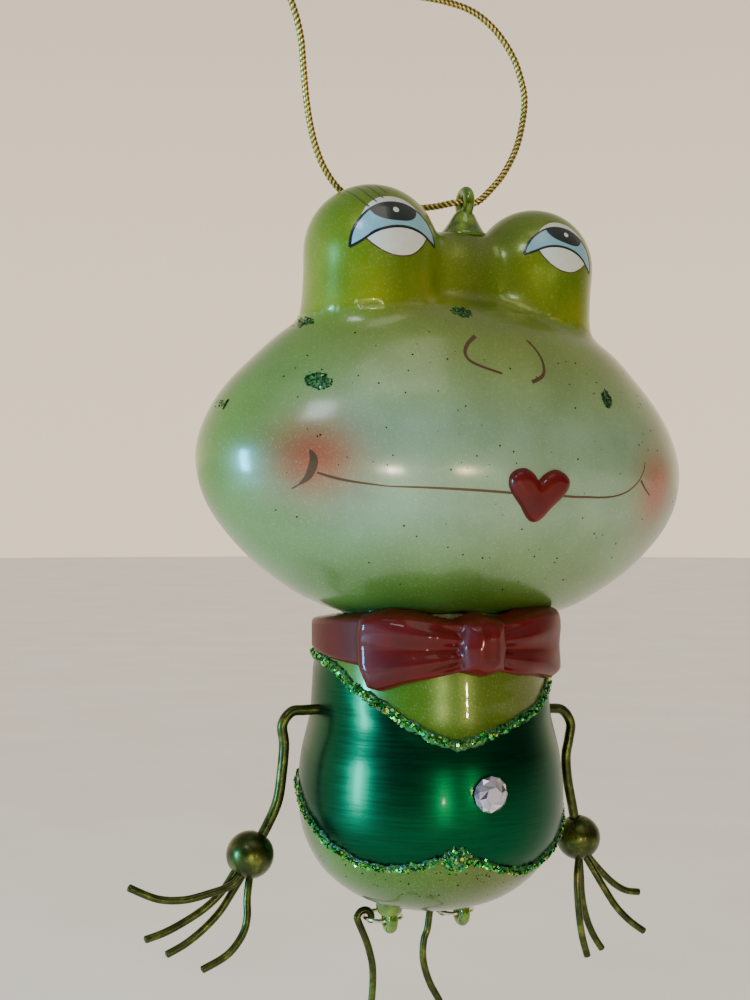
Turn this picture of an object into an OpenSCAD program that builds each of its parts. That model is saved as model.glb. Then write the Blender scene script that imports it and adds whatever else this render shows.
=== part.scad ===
// Hand-blown glass frog ornament: a hollow head and torso hang from a cord, with wire arms and legs.
// The origin is the centre of the glass eye that the cord runs through. +Z is up and the face looks to -Y.

/* [Head] */
// Width of the head across the cheeks
head_w = 90; // [84:0.5:96]
// Depth of the head from face to nape
head_d = 54; // [50:0.5:60]
// Height of the head's oval, eye domes left out
head_h = 58; // [55:0.5:62]
// Sideways tilt of the head on the neck
head_tilt = 3; // [0:0.5:4]
// Radius of the eye dome at the viewer's left
left_dome_r = 11.8; // [11:0.1:12.4]
// Radius of the eye dome at the viewer's right
right_dome_r = 10.8; // [10:0.1:12]
// Thickness of the blown glass
glass_t = 1.2; // [0.8:0.1:1.6]

/* [Torso] */
// Width of the torso at its widest
torso_w = 45.8; // [44:0.2:48]
// Height of the torso from neck to base
torso_h = 51.4; // [48:0.2:54]

/* [Hanger] */
// Radius of the hole that the cord runs through
eye_hole_r = 1.25; // [1.1:0.05:1.5]
// Outer radius of the glass eye
eye_r = 3; // [2.8:0.1:3.4]
// Diameter of the hanging cord
cord_d = 1.3; // [1:0.1:1.5]

/* [Limbs] */
// Diameter of the arm wire
arm_wire_d = 1.8; // [1.4:0.1:2]
// Diameter of the leg, finger and toe wire
fine_wire_d = 1.3; // [1:0.1:1.4]
// Diameter of the hand and foot beads
bead_d = 8; // [7:0.1:9]
// Radial running clearance of an arm's pin in its socket
pin_gap = 0.06; // [0.03:0.01:0.1]
// Height of the leg, from its hook to the foot bead
leg_h = 58; // [50:1:66]

/* [Hidden] */
$fn = 64;

skin_gap = 0.03;          // air between a painted or applied skin and the glass under it
coat_t = 0.3;             // thickness of the waistcoat's lacquer
trim_t = 0.9;             // how far the glitter trims stand off the glass

// The head stands on the neck, moved a little to the side and tilted.
head_shift = 0.8;
head_mid_z = head_h * 0.452;
dome_y = -2;
eye_x = 1.9;
eye_y = -0.6;
dome_z = head_mid_z + head_h * 0.61;
dome_root = 16;           // how far a dome's straight side runs down into the head
dome_waist = 0.35;        // how much narrower that side is than the dome
left_dome = [-15.9, dome_y, dome_z - 0.5];
right_dome = [15.1, dome_y, dome_z - 0.2];
crown_r = 9.3;
crown = [0.8, -1.5, head_mid_z + head_h * 0.543];
eye_w = 2.9;              // the eye's width along its hole
eye_z = crown[2] + crown_r + eye_r + 2.1;
eye_place = [
  head_shift + eye_x * cos(head_tilt) + eye_z * sin(head_tilt), eye_y,
  eye_z * cos(head_tilt) - eye_x * sin(head_tilt)
];

// Half outline of the head, from its base up: [share of half the width, share of the height from the middle]
head_points = [
  [0, -0.5], [0.21, -0.486], [0.4, -0.46], [0.542, -0.424], [0.629, -0.388], [0.767, -0.315], [0.864, -0.243],
  [0.938, -0.171], [0.982, -0.098], [1, -0.02], [0.989, 0.047], [0.953, 0.119], [0.896, 0.191],
  [0.812, 0.264],
  [0.72, 0.336], [0.662, 0.372], [0.556, 0.419], [0.4, 0.464], [0.21, 0.491], [0, 0.5]
];

torso_r = torso_w / 2;
neck_hole_r = 10;
joint_z = 0.2;            // half the thickness of the neck's glue line

// Half outline of the torso, from the neck down to the base: [share of the radius, share of the height]
torso_points = [
  [0.6, 0.004], [0.74, 0.02], [0.83, 0.06], [0.872, 0.14], [0.89, 0.25], [0.904, 0.335], [0.939, 0.405],
  [0.974, 0.475], [1, 0.59], [0.992, 0.69], [0.93, 0.78], [0.8, 0.868], [0.575, 0.943], [0.25, 0.99], [0, 1]
];

// Arm pins: x of the pin's inner end and outer end on the right-hand side, and their heights
pin_r = arm_wire_d / 2;
pin_in = 16.5;
pin_out = 24;
left_pin_z = -16;
right_pin_z = -18;
socket_r = pin_r + 1;
socket_out = torso_r * 0.87;

// Route of each arm's wire below the pin and the bead's centre, in the torso's own frame
left_arm_route = [[-23.4, 0, -16], [-25.6, 0, -16.2], [-27.2, 0, -18.3], [-26.9, 0, -21.7], [-27.3, 0, -26.4],
  [-28.1, 0, -31.2], [-30.2, 0, -35.6], [-31.9, 0, -38.2]];
right_arm_route = [[23.4, 0, -18], [26.2, 0, -18.4], [27.9, 0, -20.8], [27.6, 0, -23.6], [27, 0, -26.8],
  [27.3, 0, -31], [28.3, 0, -36], [28.9, 0, -39.2]];
left_hand = [-32.9, 0, -39.7];
right_hand = [29.5, 0, -41.7];

// Fingers fan out of the bead; each route starts in the bead's mouth
left_fingers = [
  [[-34.2, -0.7, -42.4], [-36.6, -0.9, -44.4], [-40.4, -1.2, -45.3], [-44.5, -1, -46],
    [-48.8, -0.4, -45.6], [-53.4, 0.4, -43.5]],
  [[-34.9, 0.7, -41.8], [-37.4, 1, -45.6], [-40.3, 1.2, -48.2], [-43.9, 1.2, -50.2],
    [-47.4, 1, -51.6], [-50.6, 0.6, -52.3]],
  [[-33.9, 0.7, -43.1], [-35.7, 1.3, -46.2], [-37.6, 1.8, -49.2], [-40.2, 2.2, -51.9],
    [-43.4, 2.4, -54.2], [-46.6, 2.3, -55.6]],
  [[-33.2, -0.7, -43.2], [-33.9, -1.6, -46.6], [-34.1, -2.2, -49.6], [-35.1, -2.6, -52.4],
    [-37.7, -2.7, -55.3], [-41.9, -2.6, -57.3]]
];
right_fingers = [
  [[29.2, -0.7, -45.3], [28.6, -1.2, -48.4], [28.5, -1.6, -52], [28.8, -1.8, -56.2],
    [29.4, -1.8, -59.6], [30.5, -1.6, -63]],
  [[30.1, 0.7, -45.3], [30.7, 1.2, -49], [31.3, 1.8, -53], [32.4, 2.2, -57], [33.9, 2.3, -60.4],
    [35.7, 2.2, -63.2]],
  [[30.6, -0.7, -45.1], [32.2, -1.3, -48], [34, -1.9, -51.2], [36.1, -2.2, -54.4],
    [38.8, -2.4, -57.2], [41.8, -2.4, -59.4]],
  [[31.4, 0.7, -44.8], [33.6, 1.1, -47.2], [36, 1.5, -49.6], [38.4, 1.8, -51.6], [40.8, 2, -52.9],
    [43.4, 2, -53.4]]
];

// Glass lugs under the torso, the jump rings in them and the eyes of the legs that hook on the rings
lug_y = 1.5;
lug_z = -53.6;
lug_x = [-7, 6.8];
lug_r = 2.3;
lug_w = 3;
lug_hole_r = 0.85;
ring_r = 3.4;
ring_wire_r = 0.3;
hook_r = 1.3;
fine_r = fine_wire_d / 2;
hook_x = [lug_x[0] - ring_r, lug_x[1] - ring_r];
hook_y = lug_y + ring_r;

// Legs: sideways place against the share of the leg's height, measured from the hook
left_leg_bends = [[0.1, 0.06], [0.9, 0.1], [1.6, 0.16], [1.4, 0.25], [0.3, 0.36], [-1.2, 0.49], [-1.9, 0.62],
  [-1.1, 0.75], [-0.2, 0.87], [0, 0.955]];
right_leg_bends = [[-1.7, 0.055], [-2.4, 0.09], [-2.5, 0.15], [-1.3, 0.22], [1.2, 0.3], [3.4, 0.4],
  [3.9, 0.5],  [2.6, 0.63], [0.9, 0.77], [0.1, 0.88], [0, 0.955]];
// Toes: sideways and down from the foot bead's centre, at the root, middle and tip
toe_spread = [
  [[-1.2, 3.5], [-2.8, 6.8], [-4.6, 9.8], [-6.2, 12.6]],
  [[-0.5, 3.7], [-1.2, 7.8], [-2, 11.6], [-2.6, 15]],
  [[0.5, 3.7], [1.2, 7.8], [2, 11.6], [2.8, 15.2]],
  [[1.2, 3.5], [2.9, 6.8], [4.8, 9.8], [6.4, 12.4]]
];
toe_y = [-0.7, 0.7, -0.7, 0.7];

// Route of the cord: out of the eye, round the open loop to the knot, and back behind the left dome
cord_route = [
  [0.3, 0, 0], [2.2, 0, 0.2], [4.4, 0, 2], [7.4, 0, 5.4], [9.9, 0, 9.9], [11.2, 0, 14.3], [11.8, 0, 18.8],
  [11.2, 0, 22.4], [9.4, 0, 26.8], [6, 0, 31], [1.7, 0, 33.8], [-3.5, 0, 35], [-10, 0, 35.4], [-17, 0, 35.8],
  [-24, 0, 36.6], [-30, 0.2, 38], [-33.5, 0.6, 39], [-34.6, 1.2, 38], [-33, 1.6, 35], [-31, 2.4, 31.4],
  [-29.4, 3.4, 27], [-28.4, 4.8, 22], [-27.2, 6.3, 16], [-25.4, 7.8, 10.4], [-22.9, 9, 5.8],
  [-19.2, 9.8, 2.2],  [-14, 9.6, 0.2], [-9, 7, -0.4], [-5, 3.2, -0.5], [-2.2, 0.3, -0.1], [-0.3, 0, 0]
];
knot = [-33.8, 0.8, 38.6];
knot_r = 1.9;

// ---- Curves and tubes ----

// One point of a Catmull-Rom curve between b and c.
function blend(a, b, c, d, t) =
  0.5 * (2 * b + (c - a) * t + (2 * a - 5 * b + 4 * c - d) * t * t + (3 * b - 3 * c + d - a) * t * t * t);

// A smooth curve through the points, with n steps between two of them.
function smooth(p, n) = concat(
  [for (i = [0 : len(p) - 2]) for (k = [0 : n - 1])
    blend(p[max(i - 1, 0)], p[i], p[i + 1], p[min(i + 2, len(p) - 1)], k / n)],
  [p[len(p) - 1]]
);

function unit(v) = v / norm(v);
function heading(p, i) = unit(p[min(i + 1, len(p) - 1)] - p[max(i - 1, 0)]);

// A round tube swept along a route that stays near an XZ plane.
module tube(p, r, sides) {
  rings = [for (i = [0 : len(p) - 1])
    let (t = heading(p, i), u = unit(cross(t, [0, 1, 0])), v = cross(u, t))
      for (k = [0 : sides - 1]) p[i] + r * (cos(360 * k / sides) * u + sin(360 * k / sides) * v)];
  last = (len(p) - 1) * sides;
  polyhedron(rings, concat(
    [[for (k = [sides - 1 : -1 : 0]) k]],
    [[for (k = [0 : sides - 1]) last + k]],
    [for (i = [0 : len(p) - 2]) for (k = [0 : sides - 1])
      let (a = i * sides + k, b = i * sides + (k + 1) % sides)
        each [[a, b, a + sides], [b, b + sides, a + sides]]]
  ), convexity = 6);
}

// ---- Frames ----

// The torso's frame: its origin is the middle of the neck.
module in_torso() translate(-eye_place) children();

// The head's frame: it stands on the neck, shifted and tilted.
module in_head() in_torso() translate([head_shift, 0, 0]) rotate([0, head_tilt, 0]) children();

// ---- Glass ----

// An eye dome: a ball on a straight side that runs down into the head.
module dome(place, r) translate(place) {
  sphere(r);
  translate([0, 0, -dome_root]) cylinder(r = r - dome_waist, h = dome_root);
}

// The head's outer surface, grown by g on every side.
module head_form(g) {
  translate([0, 0, head_mid_z]) scale([1, (head_d + 2 * g) / (head_w + 2 * g), 1]) rotate_extrude()
    polygon(smooth([for (q = head_points) [q[0] * (head_w / 2 + g), q[1] * (head_h + 2 * g)]], 2));
  dome(left_dome, left_dome_r + g);
  dome(right_dome, right_dome_r + g);
  translate(crown) sphere(crown_r + g);
}

module head_shell() color("#a9c98d") in_torso() difference() {
  translate([head_shift, 0, 0]) rotate([0, head_tilt, 0]) difference() {
    head_form(0);
    head_form(-glass_t);
  }
  translate([0, 0, joint_z - 20]) cube([80, 80, 40], center = true);
}

// The torso's outer surface, grown by g.
module torso_form(g) rotate_extrude() polygon(concat(
  [[0, -joint_z]],
  [for (p = smooth([for (q = torso_points) [q[0] * torso_r, -q[1] * torso_h]], 2)) [
    max(p[0] + g * min(1, p[0] / 5), 0), p[1] - g * max(0, -p[1] / torso_h - 0.6) / 0.4]]
));

module torso_shell() color("#9ab825") in_torso() difference() {
  torso_form(0);
  torso_form(-glass_t);
  translate([0, 0, -5]) cylinder(r = neck_hole_r, h = 10);
  for (side = [[-1, left_pin_z], [1, right_pin_z]])
    translate([side[0] * torso_r, 0, side[1]]) rotate([0, 90, 0])
      cylinder(r = socket_r + skin_gap, h = torso_r, center = true);
}

module neck_seam() color("#e8e3a8") in_torso() difference() {
  translate([0, 0, -joint_z + 0.01]) cylinder(r = torso_r * 0.54, h = 2 * joint_z - 0.02);
  translate([0, 0, -1]) cylinder(r = neck_hole_r, h = 2);
}

module hanger_eye() color("#8aa832") in_head() difference() {
  union() {
    translate([eye_x, eye_y, eye_z]) rotate([0, 90, 0]) cylinder(r = eye_r, h = eye_w, center = true);
    translate([eye_x, eye_y, eye_z - eye_r - 3]) cylinder(r1 = 4.1, r2 = 1.9, h = 4.4);
  }
  translate([eye_x, eye_y, eye_z]) rotate([0, 90, 0]) cylinder(r = eye_hole_r, h = 20, center = true);
  translate(crown) sphere(crown_r + skin_gap);
  translate(left_dome) sphere(left_dome_r + skin_gap);
  translate(right_dome) sphere(right_dome_r + skin_gap);
}

module lug(i) in_torso() difference() {
  translate([lug_x[i], lug_y, lug_z]) union() {
    rotate([0, 90, 0]) cylinder(r = lug_r, h = lug_w, center = true);
    translate([0, 0, 0.8]) cylinder(r = lug_r, h = 4.6);
  }
  translate([lug_x[i], lug_y, lug_z]) rotate([0, 90, 0]) cylinder(r = lug_hole_r, h = 20, center = true);
  torso_form(skin_gap);
}

module left_leg_lug() color("#8fae2e") lug(0);
module right_leg_lug() color("#8fae2e") lug(1);

module arm_socket(side, z) in_torso() difference() {
  translate([side * (pin_in + socket_out) / 2, 0, z]) rotate([0, 90, 0])
    cylinder(r = socket_r, h = socket_out - pin_in, center = true);
  translate([side * (pin_in + 0.8 + torso_r) / 2, 0, z]) rotate([0, 90, 0])
    cylinder(r = pin_r + pin_gap, h = torso_r - pin_in - 0.8, center = true);
}

module left_arm_socket() color("#9ab825") arm_socket(-1, left_pin_z);
module right_arm_socket() color("#9ab825") arm_socket(1, right_pin_z);

// ---- Paint and trims ----

// The skin over the head between two growths, where the children reach it.
module on_head(low, high) in_head() intersection() {
  difference() {
    head_form(high);
    head_form(low);
  }
  children();
}

// An eye decal: a disc of the dome's skin around the direction that the eye looks in.
module eye_decal(dome, dome_r, turn, lift, half_w) in_head() translate(dome) intersection() {
  difference() {
    sphere(dome_r + 0.15);
    sphere(dome_r + skin_gap);
    translate([0, 0, -dome_root]) cylinder(r = dome_r - dome_waist + skin_gap, h = dome_root);
  }
  rotate([-lift, 0, turn]) rotate([90, 0, 0]) cylinder(r = half_w, h = dome_r * 1.5);
}

module left_eye_decal() color("#8fc3d8") eye_decal(left_dome, left_dome_r, 0, 22, 7.6);
module right_eye_decal() color("#8fc3d8") eye_decal(right_dome, right_dome_r, 26, 26, 6.2);

heart_x = 5.4;
heart_z = 20;
module heart_lips() color("#a5141f") on_head(skin_gap, 1.7)
  translate([heart_x, 0, heart_z]) rotate([90, 0, 0]) linear_extrude(head_d) {
    for (s = [-1, 1]) translate([s * 2.7, 1]) circle(r = 2.8);
    polygon([[-5.2, -0.2], [5.2, -0.2], [0.4, -5]]);
  }

// Glitter spots: sideways place, height and radius in the head's frame
spots = [[-29.4, 37.2, 1.7], [20.6, 37.8, 1.4], [-42, 33.6, 0.9]];
module head_glitter() color("#1f6b35") on_head(skin_gap, 0.35)
  for (s = spots) translate([s[0], 0, s[1]]) rotate([90, 0, 0]) cylinder(r = s[2], h = head_d);

// The bow: a band round the neck and two wings with a knot, raised on the glass
bow_in = torso_r * 0.905;
bow_out = bow_in + 2.4;
module bow_tie() color("#8d1420") in_torso() {
  intersection() {
    difference() {
      cylinder(r = bow_out, h = 30, center = true);
      cylinder(r = bow_in, h = 32, center = true);
    }
    rotate([90, 0, 0]) linear_extrude(torso_w) {
      polygon([[-3, 0.1], [-15.6, 1.3], [-17.2, -10.4], [-3, -8]]);
      polygon([[3, 0.1], [16.6, 0.9], [17.8, -10.4], [3, -8.2]]);
      translate([-3.5, -8]) square([7, 8]);
    }
  }
  intersection() {
    translate([0, -bow_out + 0.6, -4.4]) scale([4.6, 2.6, 5]) sphere(1);
    difference() {
      cylinder(r = torso_w, h = 30, center = true);
      cylinder(r = bow_in, h = 32, center = true);
    }
  }
}

// The region of the torso's front that the waistcoat leaves bare, and the same for its lower edge
neck_line = [[-26, -6], [-21.5, -10.8], [-17, -13.6], [-12, -16.8], [-7, -19.3], [-3.4, -20.2], [0, -19.8],
  [4.2, -18.5], [8, -16.8], [12, -14.8], [16, -12.2], [20, -8.8], [26, -4]];
hem_line = [[-26, -27], [-23.5, -32], [-20, -36.4], [-16, -39], [-10, -40.2], [-5.6, -39.6], [-2.2, -39],
  [2, -40], [7, -41.4], [12, -40.4], [17, -36.8], [21, -31.6], [26, -25]];

back_hem_z = -30;         // the hem's height round the back

// The band of the front between two lines, as a prism that runs through the front half only.
module front_band(low, high) rotate([90, 0, 0]) linear_extrude(torso_w)
  polygon(concat(low, [for (i = [len(high) - 1 : -1 : 0]) high[i]]));

function raised(line, z) = [for (p = line) [p[0], p[1] + z]];

module torso_skin(low, high) difference() {
  torso_form(high);
  torso_form(low);
}

module arm_holes() for (z = [[-1, left_pin_z], [1, right_pin_z]])
  translate([z[0] * torso_r, 0, z[1]]) rotate([0, 90, 0])
    cylinder(r = pin_r + 0.7, h = torso_r, center = true);

module waistcoat() color("#06703d") in_torso() difference() {
  torso_skin(skin_gap, coat_t);
  front_band(neck_line, raised(neck_line, 30));
  front_band(raised(hem_line, -40), hem_line);
  translate([-torso_w / 2 - 1, 0, -2 * torso_h]) cube([torso_w + 2, torso_w, 2 * torso_h + back_hem_z]);
  translate([0, 0, -7]) cylinder(r = torso_w, h = 20);
  arm_holes();
}

module neckline_trim() color("#2f8f4e") in_torso() intersection() {
  torso_skin(coat_t + skin_gap, trim_t);
  front_band(raised(neck_line, -0.8), raised(neck_line, 0.8));
  translate([0, -25, -30]) cube([60, 50, 38], center = true);
}

module hem_trim() color("#2f8f4e") in_torso() intersection() {
  torso_skin(coat_t + skin_gap, trim_t);
  front_band(raised(hem_line, -0.8), raised(hem_line, 0.8));
}

tuft_x = -2;
module hem_tuft() color("#2f8f4e") in_torso() intersection() {
  torso_skin(trim_t + skin_gap, trim_t + 1);
  translate([tuft_x, 0, -39.4]) rotate([90, 0, 0]) cylinder(r = 2.2, h = torso_w);
}

stone_z = -28.6;
stone_x = 0.6;
module rhinestone() color("#c9c4d6") in_torso() translate([stone_x, -torso_r - coat_t - 0.02, stone_z])
  rotate([90, 0, 0]) cylinder(r1 = 3, r2 = 1.9, h = 1.5);

// ---- Hanging cord ----

module hanging_cord() color("#b89c3c") tube(smooth(cord_route, 2), cord_d / 2, 8);
module cord_knot() color("#b89c3c") translate(knot) sphere(knot_r);

// ---- Arms ----

module arm_wire(side, z, route) in_torso() {
  translate([side * (pin_in + 1 + pin_out) / 2, 0, z]) rotate([0, 90, 0])
    cylinder(r = pin_r, h = pin_out - pin_in - 1, center = true);
  tube(smooth(route, 2), pin_r * 1.07, 10);
}

module left_arm_wire() color("#6c7030") arm_wire(-1, left_pin_z, left_arm_route);
module right_arm_wire() color("#6c7030") arm_wire(1, right_pin_z, right_arm_route);

// A bead with a mouth for the arm or leg wire and a mouth for the fingers or toes.
module bead(place, wire_from, wire_r, lean) translate(place) difference() {
  sphere(bead_d / 2);
  rotate([0, wire_from, 0]) translate([0, 0, 1]) cylinder(r = wire_r + 0.25, h = bead_d);
  rotate([0, 180 + lean, 0]) translate([0, 0, 2.2]) cylinder(r = 2.4, h = bead_d);
}

module left_hand_bead() color("#6c7030") in_torso() bead(left_hand, 34, pin_r, 27);
module right_hand_bead() color("#6c7030") in_torso() bead(right_hand, -13, pin_r, -13);

module finger(route) in_torso() tube(smooth(route, 2), fine_r, 8);

module left_finger_1() color("#6c7030") finger(left_fingers[0]);
module left_finger_2() color("#6c7030") finger(left_fingers[1]);
module left_finger_3() color("#6c7030") finger(left_fingers[2]);
module left_finger_4() color("#6c7030") finger(left_fingers[3]);
module right_finger_1() color("#6c7030") finger(right_fingers[0]);
module right_finger_2() color("#6c7030") finger(right_fingers[1]);
module right_finger_3() color("#6c7030") finger(right_fingers[2]);
module right_finger_4() color("#6c7030") finger(right_fingers[3]);

// ---- Legs ----

module jump_ring(i) in_torso() translate([lug_x[i], hook_y, lug_z]) rotate_extrude()
  translate([ring_r, 0]) circle(r = ring_wire_r, $fn = 24);

module left_jump_ring() color("#c8c4a8") jump_ring(0);
module right_jump_ring() color("#c8c4a8") jump_ring(1);

// The middle of a foot bead under its hook.
function foot(i) = [hook_x[i], hook_y, lug_z - leg_h];

// A leg: a crook that hooks on the ring, and a wavy wire down to the foot bead.
module leg_wire(i, bends) in_torso() translate([hook_x[i], hook_y, lug_z]) tube(smooth(concat(
  [for (turn = [-40 : 33 : 224]) hook_r * [cos(turn), 0, sin(turn)]],
  [for (b = bends) [b[0], 0, -b[1] * leg_h]]
), 2), fine_r, 8);

module left_leg_wire() color("#6c7030") leg_wire(0, left_leg_bends);
module right_leg_wire() color("#6c7030") leg_wire(1, right_leg_bends);

module left_foot_bead() color("#6c7030") in_torso() bead(foot(0), 0, fine_r, 0);
module right_foot_bead() color("#6c7030") in_torso() bead(foot(1), 0, fine_r, 0);

module toe(i, k) in_torso()
  tube(smooth([for (p = toe_spread[k]) foot(i) + [p[0], toe_y[k] * (1 + p[1] / 8), -p[1]]], 3), fine_r, 8);

module left_toe_1() color("#6c7030") toe(0, 0);
module left_toe_2() color("#6c7030") toe(0, 1);
module left_toe_3() color("#6c7030") toe(0, 2);
module left_toe_4() color("#6c7030") toe(0, 3);
module right_toe_1() color("#6c7030") toe(1, 0);
module right_toe_2() color("#6c7030") toe(1, 1);
module right_toe_3() color("#6c7030") toe(1, 2);
module right_toe_4() color("#6c7030") toe(1, 3);

head_shell();
torso_shell();
neck_seam();
hanger_eye();
hanging_cord();
cord_knot();
left_eye_decal();
right_eye_decal();
heart_lips();
head_glitter();
bow_tie();
waistcoat();
neckline_trim();
hem_trim();
hem_tuft();
rhinestone();
left_arm_socket();
right_arm_socket();
left_arm_wire();
right_arm_wire();
left_hand_bead();
right_hand_bead();
left_finger_1();
left_finger_2();
left_finger_3();
left_finger_4();
right_finger_1();
right_finger_2();
right_finger_3();
right_finger_4();
left_leg_lug();
right_leg_lug();
left_jump_ring();
right_jump_ring();
left_leg_wire();
right_leg_wire();
left_foot_bead();
right_foot_bead();
left_toe_1();
left_toe_2();
left_toe_3();
left_toe_4();
right_toe_1();
right_toe_2();
right_toe_3();
right_toe_4();
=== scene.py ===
"""A hand-blown glass frog ornament: frosted head, lacquered waistcoat, wire limbs and a gold hanging cord."""

import math
import random

import bmesh
import bpy
from bpy.props import FloatProperty, FloatVectorProperty, IntProperty, PointerProperty
from mathutils import Matrix, Vector, noise
from mathutils.bvhtree import BVHTree


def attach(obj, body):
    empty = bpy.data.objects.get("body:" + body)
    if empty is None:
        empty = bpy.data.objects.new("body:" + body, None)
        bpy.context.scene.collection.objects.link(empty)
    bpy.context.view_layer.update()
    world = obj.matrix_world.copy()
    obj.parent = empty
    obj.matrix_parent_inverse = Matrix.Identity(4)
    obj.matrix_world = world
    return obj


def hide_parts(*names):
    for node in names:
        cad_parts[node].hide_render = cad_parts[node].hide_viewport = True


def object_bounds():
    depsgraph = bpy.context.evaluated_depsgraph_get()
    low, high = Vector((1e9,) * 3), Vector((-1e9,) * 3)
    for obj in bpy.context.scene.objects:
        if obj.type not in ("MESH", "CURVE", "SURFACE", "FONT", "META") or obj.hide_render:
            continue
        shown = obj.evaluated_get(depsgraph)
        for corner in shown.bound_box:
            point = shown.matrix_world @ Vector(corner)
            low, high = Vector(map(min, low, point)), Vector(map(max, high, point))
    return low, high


bl_info = {
    "name": "Glass Frog Ornament",
    "version": (1, 0, 0),
    "blender": (4, 5, 0),
    "location": "3D View > Sidebar > Frog Ornament",
    "description": "Builds a blown-glass frog ornament around its packed frame",
    "category": "Add Mesh",
}

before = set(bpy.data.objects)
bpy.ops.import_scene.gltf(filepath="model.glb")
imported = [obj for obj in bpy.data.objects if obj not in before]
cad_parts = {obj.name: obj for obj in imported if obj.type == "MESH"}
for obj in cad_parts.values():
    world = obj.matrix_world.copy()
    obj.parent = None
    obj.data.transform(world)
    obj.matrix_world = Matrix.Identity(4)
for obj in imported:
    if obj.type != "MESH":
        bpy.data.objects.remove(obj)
CAD_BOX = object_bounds()
MM = 0.001

# ---- Places, in millimetres, as the frame has them ----

EYE = Vector((6.471, -0.6, 71.912))  # the glass eye, seen from the middle of the neck
HEAD = Matrix.Translation((0.8, 0, 0)) @ Matrix.Rotation(math.radians(3), 4, "Y")

# The head's middle and half sizes, and its outline as shares of the half width and of the whole height
HEAD_MID = Vector((0.9, 0, 26.2))
HEAD_HALF = Vector((45, 27, 29))
HEAD_LINE = [(0, -0.5), (0.21, -0.486), (0.4, -0.46), (0.542, -0.424), (0.629, -0.388), (0.767, -0.315),
             (0.864, -0.243), (0.938, -0.171), (0.982, -0.098), (1, -0.02), (0.989, 0.047), (0.953, 0.119),
             (0.896, 0.191), (0.812, 0.264), (0.72, 0.336), (0.662, 0.372), (0.556, 0.419), (0.4, 0.464),
             (0.21, 0.491), (0, 0.5)]
# Round parts on the head: middle and radius
LEFT_DOME = (Vector((-15.9, -2, 61.1)), 11.8)
RIGHT_DOME = (Vector((15.1, -2, 61.4)), 10.8)
CROWN = (Vector((0.8, -1.5, 57.7)), 9.3)
FACE_X = 1.2  # the face is painted this far to the viewer's right of the head's middle
HOOK_EYE = Vector((1.9, -0.6, 72.1))  # the glass eye, in the head's frame

# The torso's outline, as shares of its radius and, going down, of its height
TORSO_R = 22.9
TORSO_H = 51.4
TORSO_LINE = [(0.6, 0.004), (0.74, 0.02), (0.83, 0.06), (0.872, 0.14), (0.89, 0.25), (0.904, 0.335),
              (0.939, 0.405), (0.974, 0.475), (1, 0.59), (0.992, 0.69), (0.93, 0.78), (0.8, 0.868),
              (0.575, 0.943), (0.25, 0.99), (0, 1)]

CORD_ROUTE = [(0.3, 0, 0), (2.2, 0, 0.2), (4.4, 0, 2), (7.4, 0, 5.4), (9.9, 0, 9.9), (11.2, 0, 14.3),
              (11.8, 0, 18.8), (11.2, 0, 22.4), (9.4, 0, 26.8), (6, 0, 31), (1.7, 0, 33.8), (-3.5, 0, 35),
              (-10, 0, 35.4), (-17, 0, 35.8), (-24, 0, 36.6), (-30, 0.2, 38), (-33.5, 0.6, 39),
              (-34.6, 1.2, 38), (-33, 1.6, 35), (-31, 2.4, 31.4), (-29.4, 3.4, 27), (-28.4, 4.8, 22),
              (-27.2, 6.3, 16), (-25.4, 7.8, 10.4), (-22.9, 9, 5.8), (-19.2, 9.8, 2.2), (-14, 9.6, 0.2),
              (-9, 7, -0.4), (-5, 3.2, -0.5), (-2.2, 0.3, -0.1), (-0.3, 0, 0)]
KNOT = Vector((-33.8, 0.8, 38.6))

# Arms and fingers, in the torso's frame
LEFT_ARM = [(-17.5, 0, -16), (-21, 0, -16), (-23.4, 0, -16), (-25.6, 0, -16.2), (-27.2, 0, -18.3),
            (-26.9, 0, -21.7), (-27.3, 0, -26.4), (-28.1, 0, -31.2), (-30.2, 0, -35.6), (-31.9, 0, -38.2)]
RIGHT_ARM = [(17.5, 0, -18), (21, 0, -18), (23.4, 0, -18), (26.2, 0, -18.4), (27.9, 0, -20.8),
             (27.6, 0, -23.6), (27, 0, -26.8), (27.3, 0, -31), (28.3, 0, -36), (28.9, 0, -39.2)]
LEFT_HAND = Vector((-32.9, 0, -39.7))
RIGHT_HAND = Vector((29.5, 0, -41.7))
LEFT_FINGERS = [
    [(-34.2, -0.7, -42.4), (-36.6, -0.9, -44.4), (-40.4, -1.2, -45.3), (-44.5, -1, -46),
     (-48.8, -0.4, -45.6), (-53.4, 0.4, -43.5)],
    [(-34.9, 0.7, -41.8), (-37.4, 1, -45.6), (-40.3, 1.2, -48.2), (-43.9, 1.2, -50.2), (-47.4, 1, -51.6),
     (-50.6, 0.6, -52.3)],
    [(-33.9, 0.7, -43.1), (-35.7, 1.3, -46.2), (-37.6, 1.8, -49.2), (-40.2, 2.2, -51.9),
     (-43.4, 2.4, -54.2), (-46.6, 2.3, -55.6)],
    [(-33.2, -0.7, -43.2), (-33.9, -1.6, -46.6), (-34.1, -2.2, -49.6), (-35.1, -2.6, -52.4),
     (-37.7, -2.7, -55.3), (-41.9, -2.6, -57.3)],
]
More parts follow.
